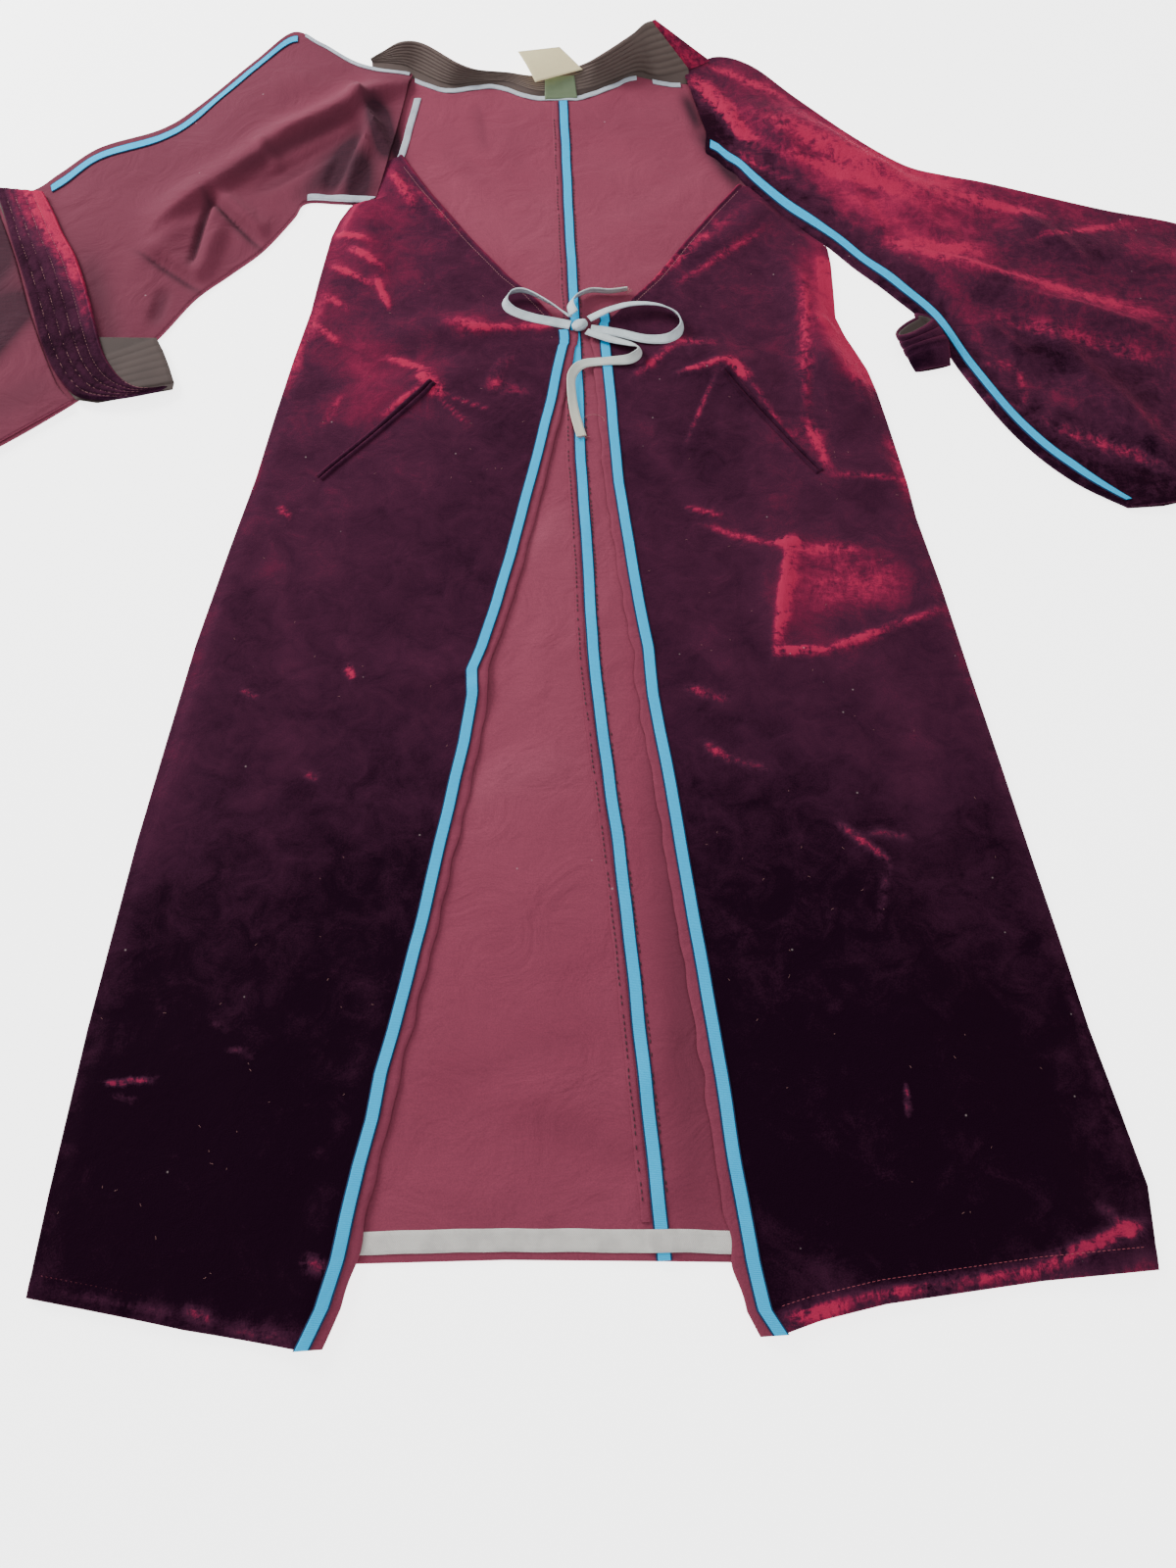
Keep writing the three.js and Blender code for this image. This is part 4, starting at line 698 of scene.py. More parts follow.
LEFT_SLEEVE_CREASES = (  # x, y, angle, half length, half width, lean, height
    (-285, 1359, -146, 92, 20, 0.5, 12), (-425, 1240, -136, 110, 22, 0.5, 10), (-404, 1171, -52, 54, 4, 0, -5),
    (-396, 1182, -52, 50, 9, -0.5, 5), (-444, 1161, -98, 53, 4, 0, -5), (-434, 1156, -98, 50, 9, -0.5, 5),
    (-476, 1097, -41, 50, 4, 0, -5), (-468, 1108, -41, 46, 9, -0.5, 4), (-278, 1276, -107, 66, 9, 0, -6),
    (-258, 1280, -105, 60, 9, 0, 6), (-320, 1277, -142, 71, 12, 0, -5), (-483, 1040, -96, 26, 8, 0, -4),
    (-548, 1046, -73, 83, 12, 0, -3), (-428, 1125, -104, 46, 9, 0, 4), (-370, 1285, -60, 27, 8, 0, 3),
    (-400, 1370, 50, 120, 40, 0, 3), (-246, 1352, -70, 60, 10, 0.5, 7), (-500, 1130, -130, 60, 20, 0, 5),
)
# Painted shade in the left sleeve's creases and armhole hollow, painted highlights on two of its ridges, and a few
# faint darker patches.
LEFT_SLEEVE_SHADE_AND_HIGHLIGHTS = (  # x, y, angle, half length, half width, lean, paleness
    (-404, 1169, -52, 56, 4, 0.5, -0.5), (-444, 1160, -98, 54, 4, 0.5, -0.5),
    (-476, 1095, -41, 50, 4, 0.5, -0.45), (-278, 1276, -107, 70, 11, 0, -0.4),
    (-231, 1328, -80, 50, 13, 0, -1.5), (-320, 1272, -142, 80, 14, 0, -0.18),
    (-483, 1040, -96, 30, 10, 0, -0.25), (-548, 1046, -73, 88, 16, 0, -0.25),
    (-300, 1380, -140, 90, 24, 0, 0.1), (-430, 1240, -130, 110, 24, 0, 0.08),
    (-345, 1300, -142, 110, 10, 0, -0.25), (-258, 1238, -98, 46, 18, 0, -0.7),
    (-296, 1262, -120, 60, 16, 0, -0.5), (-610, 1120, -60, 90, 34, 0, -0.12),
    (-250, 1230, -20, 50, 26, 0, -0.12),
)
RIGHT_SLEEVE_CREASES = (  # x, y, angle, half length, half width, lean, height
    (258, 1276, -58, 57, 10, 0, 3), (419, 1116, -51, 69, 12, 0, 4), (466, 1028, -29, 71, 9, 0.4, 4),
    (563, 957, -24, 100, 9, 0.5, 4), (564, 1073, -61, 59, 10, 0, 4), (349, 1154, -74, 55, 9, 0, 3),
    (537, 896, -69, 57, 12, 0, 4), (587, 793, -69, 53, 12, 0, 4), (471, 922, -56, 38, 8, 0, 3),
    (204, 1341, -71, 57, 8, 0, 3),
)
TURNBACK_FOLDS = (  # x, y, angle, half length, half width, lean, height
    (-705, 1120, 70, 90, 16, 0, 1.6), (-680, 960, 60, 80, 18, 0, 1.8), (-735, 1010, 65, 120, 14, 0, 1.4),
)
# Painted shade on the turned-back end of the left sleeve, darkest beside the cuff.
TURNBACK_SHADE = (  # x, y, angle, half length, half width, lean, paleness
    (-690, 1080, 72, 70, 40, 0, -0.55), (-690, 1170, 75, 60, 30, 0, -0.9), (-662, 1010, 64, 70, 24, 0, -0.8),
    (-650, 1000, 66, 90, 10, 0, -0.3), (-640, 900, 30, 60, 24, 0, -0.15),
)
CUFF_LINES = (0.0, 0.17, 0.36, 0.56, 0.75, 0.95, 1.0)
TAPE_SHADE = ((-40, 1), (12, 1), (40, 0.75), (70, 0), (500, 0))  # distance above the tape, shade
RIGHT_CUFF = (372, 963, -80, 74, 27, 10.5)  # mouth x, mouth y, turn, length, half width, half height
KNOT = (-4, 976, 8.8, 9.8, 0.76, 0.5, 35)  # x, y, z, radius, share across, share up, turn
LOOP_LEFT = (  # x, y, z, tilt
    (-14, 985, 10, -40), (-36, 1004, 12, -60), (-62, 1023, 13, -66), (-79, 1025, 11, -62), (-87, 1013, 9, -50),
    (-78, 1000, 8, -30), (-56, 990, 7, -20), (-34, 983, 7, -18), (-15, 976, 8, -15),
)
LOOP_RIGHT = (  # x, y, z, tilt
    (7, 982, 10.4, 10), (30, 992, 12.4, 16), (58, 998, 13.4, 22), (88, 994, 12.4, 36), (107, 980, 9.4, 62),
    (110, 962, 7.4, 66), (96, 949, 7.4, 30), (70, 950, 7.4, 12), (38, 962, 7.4, 8), (8, 970, 7.4, 8),
)
END_UPPER = (  # x, y, z, tilt
    (-10, 988, 12.6, 30), (-13, 1003, 10.6, 50), (-6, 1018, 7, 62), (12, 1029, 4.6, 66), (34, 1027, 4, 66),
    (54, 1028, 5.4, 62),
)
END_LOWER = (  # x, y, z, tilt
    (3, 964, 9.4, 10), (28, 951, 9.4, 8), (52, 940, 8.8, 28), (60, 928, 8.6, 66), (48, 919, 8.4, 30),
    (22, 920, 7.8, 6), (-4, 918, 6.6, 12), (-17, 902, 6.2, 32), (-19, 876, 5.8, 26), (-17, 848, 4.4, 12),
    (-12, 818, 4, 6),
)
LEFT_TAPE_TOP = 962
RIGHT_TAPE_TOP = 1000
FACING_TRIANGLE = (  # outer x, outer y, inner x, inner y
    (-700, 1243, -652, 1231), (-664, 1156, -618, 1160), (-642, 1096, -596, 1112), (-620, 1030, -580, 1054),
    (-603, 980, -562, 996), (-586, 942, -481, 990), (-579, 931, -471, 968), (-570, 917, -463, 946),
    (-560, 903, -455, 921), (-536, 897, -456, 911),
)
COLLAR = (  # x, y, z, topX, topY, topZ
    (-246, 1466, 3.6, -248, 1470, 6.5), (-230, 1464, 5.0, -231, 1471, 15), (-203, 1454, 7.2, -205, 1463, 31.2),
    (-186, 1444, 4.2, -176, 1456, 32.2), (-148, 1418, 3.2, -132, 1424, 25.2),
    (-112, 1419, 3.2, -106, 1428, 13.2), (-72, 1416, 3.2, -70, 1426, 9.2), (-36, 1395, 3.2, -35, 1416, 9.2),
    (0, 1391, 3.2, -2, 1422, 9.2), (30, 1394, 3.2, 23, 1421, 17.2), (62, 1410, 3.2, 53, 1418, 33.2),
    (100, 1427, 3.2, 88, 1438, 41.2), (128, 1414, 4.2, 108, 1456, 45.2), (166, 1422, 6.2, 118, 1460, 46.5),
    (196, 1436, 8.2, 124, 1463, 47.2),
)
LEFT_CUFF = (  # ox, oy, ix, iy
    (-700, 1250, -640, 1238), (-681, 1200, -622, 1200), (-667, 1158, -607, 1165), (-645, 1098, -586, 1122),
    (-623, 1033, -567, 1068), (-606, 982, -552, 1018), (-584, 937, -538, 972), (-561, 908, -524, 944),
    (-538, 900, -510, 926), (-515, 899, -492, 914), (-493, 902, -475, 912), (-470, 907, -461, 914),
)
LEFT_SIDE = (  # y, x
    (-60, -490), (3, -488), (77, -481), (208, -466), (376, -442), (474, -425), (581, -406), (697, -380),
    (785, -359), (865, -344), (949, -327), (1023, -310), (1070, -303), (1145, -290), (1172, -281),
    (1197, -268), (1206, -240), (1271, -226), (1334, -214), (1395, -204), (1440, -195),
)
SLEEVE_END = (  # share from the lower corner, x, y: how far the right sleeve's end bows out of straight
    (0, -10, 6), (0.05, -8, -11), (0.1, -2, -28), (0.15, 2, -44), (0.2, 4, -56), (0.35, 6, -66), (0.6, 2, -40),
    (1, 0, 0),
)
SLEEVE_NAP = (  # share of the sleeve's length, paleness
    (0, -0.1), (0.1, 0.02), (0.2, 0.14), (0.4, 0.26), (0.6, 0.2), (0.8, 0.12), (1, 0.08),
)
# Painted shade in the hollows of the right sleeve and painted highlights on its ridges.
SLEEVE_SHADE_AND_HIGHLIGHTS = (  # x, y, angle, half length, half width, lean, paleness
    (585, 1075, -30, 60, 34, 0, -0.3), (470, 1000, 30, 34, 22, 0, -0.22), (500, 905, -60, 50, 28, 0, -0.3),
    (580, 870, -60, 70, 40, 0, -0.2), (250, 1330, -60, 40, 16, 0, -0.2), (430, 1130, -35, 60, 12, 0, 0.16),
    (400, 1250, -38, 120, 26, 0, 0.12), (360, 1138, -52, 96, 26, 0, 0.26), (520, 1180, -22, 110, 16, 0, 0.12),
)
RIGHT_SLEEVE = (  # tx, ty, bx, by
    (160, 1424, 184.6, 1272), (205, 1452, 197, 1250), (250, 1430, 208, 1229), (298, 1364, 222, 1199),
    (358, 1286, 251, 1152), (413, 1228, 299, 1090), (460, 1203, 325, 1050), (510, 1184, 357, 1007),
    (577, 1155, 392, 953), (643, 1127, 417, 877), (719, 1100, 455, 788), (770, 1066, 500, 726),
    (800, 1020, 560, 680),
)
BACK_LEFT_NECK = (  # u, y
    (0, 1385), (0.05, 1385.5), (0.1, 1386), (0.15, 1387), (0.2, 1389.5), (0.25, 1394.5), (0.3, 1400.5),
    (0.35, 1406.5), (0.4, 1411.5), (0.45, 1414), (0.5, 1414), (0.55, 1412.5), (0.6, 1411), (0.65, 1409.5),
    (0.7, 1408), (0.75, 1409.5), (0.8, 1413.5), (0.85, 1419), (0.9, 1425), (0.95, 1431), (1, 1437),
)
BACK_RIGHT_NECK = (  # u, y
    (0, 1385), (0.05, 1384), (0.1, 1383.5), (0.15, 1385), (0.2, 1388.5), (0.25, 1392), (0.3, 1396),
    (0.35, 1400), (0.4, 1404), (0.45, 1408.5), (0.5, 1414), (0.55, 1418), (0.6, 1419.5), (0.65, 1416.5),
    (0.7, 1412.5), (0.75, 1408.5), (0.8, 1405), (0.85, 1403), (0.9, 1402), (0.95, 1401), (1, 1400),
)
RIGHT_MARKS = (  # x, y, angle, half length, half width, lean, crushing
    (173, 598, -104, 63, 7, -0.5, 0.9), (185, 535, -3, 26, 5, 0.5, 0.95), (242, 545, 19, 33, 6, 0.4, 0.7),
    (302, 565, 18, 31, 5, 0.3, 0.5), (250, 610, 2, 57, 34, 0, 0.34), (228, 653, -3, 37, 9, 0, 0.4),
    (108, 708, -21, 21, 3, 0, 0.6), (140, 676, -23, 39, 4, 0, 0.6), (188, 663, 10, 13, 6, 0, 1.0),
    (87, 493, -26, 23, 6, 0, 0.55), (89, 432, -43, 17, 5, 0, 0.7), (118, 416, -23, 25, 4, 0, 0.45),
    (210, 329, -44, 29, 4, 0, 0.8), (233, 336, -12, 21, 4, 0, 0.55), (220, 282, -108, 31, 4, 0, 0.4),
    (208, 105, -94, 15, 3, 0, 0.6), (246, 936, -97, 100, 8, 0, 0.45), (288, 1040, -92, 30, 9, 0, 0.8),
    (295, 938, -87, 72, 14, 0, 0.8), (281, 955, -28, 22, 8, 0, 0.6), (310, 899, -77, 42, 6, 0, 0.9),
    (240, 787, -80, 36, 7, 0, 0.5), (127, 906, 13, 30, 4, 0, 0.7), (167, 900, -56, 18, 7, 0, 1.0),
    (121, 850, -114, 53, 3, 0, 0.5), (79, 922, 41, 35, 6, 0, 0.5), (125, 943, -8, 22, 6, 0, 0.5),
    (192, 848, -69, 40, 4, 0, 0.4), (111, -46, 9, 23, 5, 0, 0.8), (174, -36, 4, 35, 4, 0, 0.55),
    (248, -30, 3, 40, 5, 0, 0.5), (331, -13, 15, 47, 6, 0, 0.85), (357, 3, -41, 19, 5, 0, 0.5),
    (129, 1087, 44, 81, 8, 0, 0.4), (169, 1078, 36, 70, 6, 0, 0.35), (226, 801, -18, 32, 22, 0, 0.2),
    (368, 125, -86, 105, 6, 0, 0.2), (347, 441, -85, 158, 7, 0, 0.18), (323, 750, -84, 53, 8, 0, 0.35),
    (287, 741, -8, 39, 4, 0, 0.5),
)
LEFT_MARKS = (  # x, y, angle, half length, half width, lean, crushing
    (-325, 735, -49, 11, 3, 0, 0.7), (-253, 539, -66, 10, 4, 0, 0.9), (-349, 521, -32, 10, 4, 0, 0.6),
    (-287, 430, -29, 9, 5, 0, 0.45), (-425, 161, 1, 22, 3, 0, 0.85), (-428, 148, -18, 13, 4, 0, 0.4),
    (-334, 178, -22, 15, 2, 0, 0.55), (-353, 201, -29, 10, 3, 0, 0.35), (-354, -17, -28, 13, 5, 0, 0.55),
    (-266, 11, -27, 14, 6, 0, 0.75), (-417, -5, -14, 47, 5, 0, 0.3), (-308, -33, -13, 27, 5, 0, 0.35),
    (-263, 1135, -26, 22, 3, 0, 0.8), (-246, 1099, -42, 26, 4, 0, 0.85), (-262, 1074, -36, 30, 4, 0, 0.7),
    (-228, 1045, -72, 25, 4, 0, 0.8), (-279, 1033, -41, 23, 5, 0, 0.4), (-78, 978, 1, 52, 4, 0, 0.65),
    (-131, 983, -20, 26, 9, 0, 0.35), (-289, 983, -49, 21, 4, 0, 0.6), (-196, 930, -28, 28, 4, 0, 0.7),
    (-173, 899, -50, 20, 8, 0, 0.9), (-137, 873, -26, 33, 2, 0, 0.5), (-148, 860, -52, 24, 2, 0, 0.5),
    (-280, 871, -116, 25, 5, 0, 0.3), (-203, 879, 41, 28, 4, 0, 0.6), (-86, 891, -18, 24, 9, 0, 0.3),
    (-97, 915, -113, 31, 10, 0, 0.25), (-204, 1216, -67, 39, 7, 0, 0.5), (-165, 1179, -57, 53, 5, 0, 0.3),
    (-315, 975, -105, 76, 8, 0, 0.3), (-358, 814, -96, 47, 6, 0, 0.35),
)
SLEEVE_MARKS = (  # x, y, angle, half length, half width, lean, crushing
    (201, 1337, -65, 76, 12, 0, 0.9), (237, 1395, -39, 58, 8, 0, 0.5), (310, 1259, -42, 95, 16, 0, 0.45),
    (339, 1203, -32, 84, 8, 0, 0.6), (410, 1198, -38, 101, 22, 0, 0.3), (420, 1072, -14, 55, 12, 0, 0.5),
    (527, 1001, -25, 148, 10, 0, 0.4), (503, 1088, -32, 24, 16, 0, -0.5), (517, 1137, -23, 45, 7, 0, 0.6),
    (597, 1087, 11, 64, 6, 0, 0.45), (456, 887, -13, 19, 5, 0, 0.4), (476, 856, -97, 24, 5, 0, 0.35),
    (447, 834, -28, 22, 5, 0, 0.35), (418, 863, -93, 18, 5, 0, 0.35), (375, 1098, -52, 62, 12, 0, -0.4),
    (584, 841, -37, 51, 14, 0, -0.5), (553, 916, -24, 88, 12, 0, 0.35), (543, 768, -32, 70, 9, 0, 0.5),
    (394, 1071, -46, 42, 7, 0, 0.5), (229, 1236, -46, 47, 9, 0, 0.4),
)


# Lie of the cloth


left_side, right_side, centre_back, left_opening, right_opening = (
    functools.partial(read, rows) for rows in (LEFT_SIDE, RIGHT_SIDE, CENTRE_BACK, LEFT_OPENING, RIGHT_OPENING))


def panel(inner, side, hem, top, offset, across, up):
    """Plan of a panel: straight across from its inner edge to its side, and straight up from hem to top."""
    a, u = across[None, :], up[:, None]
    y = lerp(read(hem, a), read(top, a), u)
    return lerp(inner(y) + offset, side(y), a), y


def back_rise(x, y):
    """Soft folds of the back's wrong side, only where the fronts leave it open."""
    inside = ease(x - left_opening(y), 16, 44) * ease(right_opening(y) - x, 16, 44)
    inside = np.where(y > 1285, ease(x - left_side(y), 12, 40) * ease(right_side(y) - x, 12, 40), inside)
    return np.maximum(folds(BACK_FOLDS, x, y) + ripple(x, y, 3, 120, 0.7) + 0.5, 0.0) * inside


def front_under(x, y):
    """Underside of a front: over the back, with its folds, and down to the back at the side seam."""
    settled = ease(np.minimum(x - left_side(y), right_side(y) - x), 0.0, SIDE_ROLL)
    lift = folds(FRONT_FOLDS, x, y) + folds(FRONT_CREASES, x, y) + 0.6 + ripple(x, y, 11, 95, 0.5)
    return lerp(ON_BACK, FRONT_UNDER, settled) + np.maximum(lift, 0.0) * settled


def tape_uv(reach_along, reach_across):
    """A tape's UV map in millimetres, before it is put in metres: along it and across it."""
    return np.stack(np.broadcast_arrays(reach_along, reach_across), -1)


def ribbon(name, x, y, base, across, finish):
    """A flat tape over a base height: its edges rounded, 'across' the distance from its middle line."""
    points = grid(x, y, base + rounded(np.abs(across).max() - np.abs(across), 0.875, TAPE))
    return shell(name, points, grid(x, y, base), finish, tape_uv(lengthwise(points), across))


def bell(distance, width):
    """A bell: one at no distance, a third or so at its width."""
    return np.exp(-((distance / width) ** 2))


CROSSWISE = np.array([[-1.0, -0.97, -0.9, -0.5, 0.0, 0.5, 0.9, 0.97, 1.0]])  # places across a narrow tape

# Tie


def flat_cord(name, route, stations, soiled):
    """A flat tape along a smooth route: its width leans from level by the route's own angle. It is soiled by
    one amount at the knot and another at its far end, straight between."""
    centre = through(route, np.linspace(0, 1, stations))
    path, tilt = centre[:, :3], np.radians(centre[:, 3])
    path[:, 2] += 0.9 * TIE_WIDTH / 2 * np.abs(np.sin(tilt))
    along = np.gradient(path, axis=0)
    along /= np.linalg.norm(along, axis=1)[:, None]
    level = np.stack([along[:, 1], -along[:, 0], np.zeros(stations)], -1)
    level /= np.linalg.norm(level, axis=1)[:, None]
    above = np.cross(level, along)
    above *= np.sign(above[:, 2:3])
    wide = level * np.cos(tilt)[:, None] + above * np.sin(tilt)[:, None]
    thick = np.cross(along, wide)
    turn = np.linspace(0, 2 * math.pi, CORD_SIDES, endpoint=False) + math.pi / CORD_SIDES
    across = np.clip(1.12 * np.cos(turn), -1, 1) * TIE_WIDTH / 2
    up = np.clip(1.6 * np.sin(turn), -1, 1) * TIE_THICKNESS / 2 * (1 - 0.25 * (np.abs(np.cos(turn)) < 0.5))
    rings = path[:, None] + wide[:, None] * across[None, :, None] + thick[:, None] * up[None, :, None]
    body = quads(stations, CORD_SIDES, ring=True)
    near = np.arange(CORD_SIDES)
    far = (stations - 1) * CORD_SIDES + near[::-1]
    fans = [np.stack([np.full(CORD_SIDES, stations * CORD_SIDES + k), end, np.roll(end, -1)], -1)
            for k, end in enumerate((near, far))]  # these small caps face in
    points = np.concatenate([rings.reshape(-1, 3), path[[0, -1]]])
    faces = outward(points, np.concatenate([body[:, [0, 1, 2]], body[:, [0, 2, 3]], *fans]))
    run = np.concatenate([[0], np.cumsum(np.linalg.norm(np.diff(path, axis=0), axis=1))])
    uv = np.concatenate([tape_uv(run[:, None], across[None, :]).reshape(-1, 2), [[run[0], 0.0], [run[-1], 0.0]]])
    yellow = np.concatenate([lerp(*soiled, np.repeat(run / run[-1], CORD_SIDES)), soiled])
    made = piece(name, points, faces, tie_cloth, uv, {"tone_and_painted_light": yellow})


def tie():
    """The bow: two loops, two free ends, and the knot, a rounded pillow wrapped by one turn of the tape and
    creased where the wrap pulls it in."""
    flat_cord("tie_loop_left", LOOP_LEFT, 110, (0, 0))
    flat_cord("tie_loop_right", LOOP_RIGHT, 130, (0, 0.1))
    flat_cord("tie_end_upper", END_UPPER, 60, (0, 0.5))
    flat_cord("tie_end_lower", END_LOWER, 120, (0.1, 0.95))
    knot_x, knot_y, knot_z, radius, share_across, share_up, turned = KNOT
    v, u = np.meshgrid(np.linspace(-1, 1, 40), np.linspace(0, 2 * math.pi, 64, endpoint=False), indexing="ij")
    pull = 1 - 0.1 * bell(np.abs(v) - 0.55, 0.12)
    girth = np.sqrt(np.clip(1 - np.abs(v) ** 2.6, 0, 1)) * 0.98 + 0.02
    wrap = 1 + 0.05 * np.cos(3 * u + 2 * v)
    long_way = radius * v * 0.98
    side_way = radius * share_across * girth * pull * wrap * np.cos(u)
    rise = radius * share_up * girth * pull * wrap * np.sin(u)
    turn = math.radians(turned)
    x = knot_x + long_way * math.cos(turn) - side_way * math.sin(turn)
    y = knot_y + long_way * math.sin(turn) + side_way * math.cos(turn)
    rings = grid(x, y, knot_z + rise)
    points, faces = capped(rings, np.stack([rings[0].mean(0), rings[-1].mean(0)]))
    uv = np.stack([radius * v.ravel(), radius * 0.6 * (u.ravel() - math.pi)], -1)
    uv = np.concatenate([uv, [[-radius, 0], [radius, 0]]])
    piece("tie_knot", points, faces, tie_cloth, uv, {"tone_and_painted_light": np.zeros(len(points))})


# Body


def fronts():
    """The two fronts: velvet walls whose edges roll under, with creases and crushed pile in set places."""
    for name, inner, side, hem, top, sign, tape_top, marks in (
            ("left", left_opening, left_side, FRONT_LEFT_HEM, FRONT_LEFT_TOP, -1, LEFT_TAPE_TOP, LEFT_MARKS),
            ("right", right_opening, right_side, FRONT_RIGHT_HEM, FRONT_RIGHT_TOP, 1, RIGHT_TAPE_TOP, RIGHT_MARKS)):
        across = shares(88, (1, 1), 300)
        x, y = panel(inner, side, hem, top, sign * SEAM_GAP / 2, across, shares(280, (1, 1), 1300))
        from_inner = np.abs(x - inner(y))
        from_side = np.abs(side(y) - x)
        from_hem = y - read(hem, across[None, :])
        from_top = read(top, across[None, :]) - y
        under = front_under(x, y)
        edge = np.minimum(np.minimum(from_side, from_hem), np.minimum(from_top, from_inner))
        neck = ease(y, tape_top, tape_top + 12)
        neck_roll = 1.1 * bell(from_inner - 3.4, 2.0) - 0.5 * bell(from_inner - 7.4, 0.9)
        hem_roll = 0.5 * bell(from_hem - 8, 6.0) - 0.4 * bell(from_hem - 17, 1.2)
        height = rounded(edge, EDGE_ROUND, VELVET) + neck * neck_roll + hem_roll
        fold_line = bell(from_hem, 13.0) * (0.3 + 0.7 * (sign > 0))
        crush = folds(marks, x, y) + read(CRUSH_UP, y) + 0.2 * fold_line
        # Per-point tone of the pile: painted sheen that brightens it towards the neck, near the side seam and on the
        # rolled neck edge; patches, mostly painted sheen on folds and slopes, with one painted shadow by the right
        # armhole; paler along the hem's roll and a little darker high up.
        level = (read(PAINTED_SHEEN_UP, y) + folds(PILE_SHEEN_AND_SHADE_PATCHES, x, y) + 0.1 * bell(from_side, 22.0) - 0.03 * ease(y, 950, 1100)
                 + 0.16 * fold_line * ease(from_hem, 18, 12) + 0.2 * neck * bell(from_inner - 2.5, 2.5))
        shell("front_" + name, grid(x, y, under + height), grid(x, y, under), velvet, None,
              {"crush": crush, "tone_and_painted_light": level})


def front_edges():
    """Each front's blue tape over its seam, and the strip of allowance that turns out beyond it. Under the
    knot the tapes keep clear of the centre back tape."""
    for name, inner, sign, low, high, seed, clear in (
            ("left", left_opening, -1, -47, LEFT_TAPE_TOP + 10, 5, (-300, -22.5)),
            ("right", right_opening, 1, -60, RIGHT_TAPE_TOP, 6, (23, 300))):
        y = np.linspace(low, high, 300)[:, None]
        wander = ripple(np.zeros_like(y), y, seed, 70, 0.5)
        across = CROSSWISE * TAPE_WIDTH / 2
        middle = np.clip(inner(y), *clear)
        middle = np.where(y > 950, np.clip(middle, -23, 25), middle)
        x = middle + across + wander * 0.5
        puckers = 0.12 * np.sin(y / 3.1 + 2.0 * np.sin(y / 23.0)) * (np.abs(across) > 5)
        base = front_under(x, y) + VELVET + SEAM_GAP + np.maximum(puckers, -0.1)
        ribbon("tape_front_" + name, x, y, base, across, grosgrain)
        reach = np.linspace(0, 1, 9)[None, :]
        width = TAPE_WIDTH / 2 + 8.2 + ripple(np.zeros_like(y), y, seed + 40, 40, 1.0)
        x = middle - sign * (SEAM_GAP + reach * width)
        base = front_under(x, y)
        height = rounded(width * (1 - reach), 1.2, 1.25) + 0.25 * ripple(x, y, seed + 50, 14, 1.0) * reach
        shell("allowance_front_" + name, grid(x, y, base + np.maximum(height, 0.2)), grid(x, y, base), wrong_side,
              None, {"tone_and_painted_light": np.full(x.shape, -0.1)})


def back():
    """The back's two halves, wrong side up, flat underneath."""
    across = shares(76, (0, 1), 350)
    for name, side, hem, top, offset in (
            ("back_left", left_side, BACK_LEFT_HEM, BACK_LEFT_NECK, -SEAM_GAP / 2),
            ("back_right", right_side, BACK_RIGHT_HEM, BACK_RIGHT_NECK, SEAM_GAP / 2)):
        x, y = panel(centre_back, side, hem, top, offset, across, shares(215, (1, 1), 1380))
        a = across[None, :]
        edge = np.minimum(np.minimum(np.abs(side(y) - x), y - read(hem, a)), read(top, a) - y)
        height = rounded(edge, EDGE_ROUND, VELVET) + back_rise(x, y)
        shell(name, grid(x, y, height), grid(x, y, 0.0), wrong_side, None, {"tone_and_painted_light": 0.05 + folds(BACK_SHADE_AND_TONES, x, y)})


def back_hem(x):
    """The back's hem line at x."""
    return np.where(x < 0, read(BACK_LEFT_HEM, x / left_side(0)), read(BACK_RIGHT_HEM, x / right_side(0)))


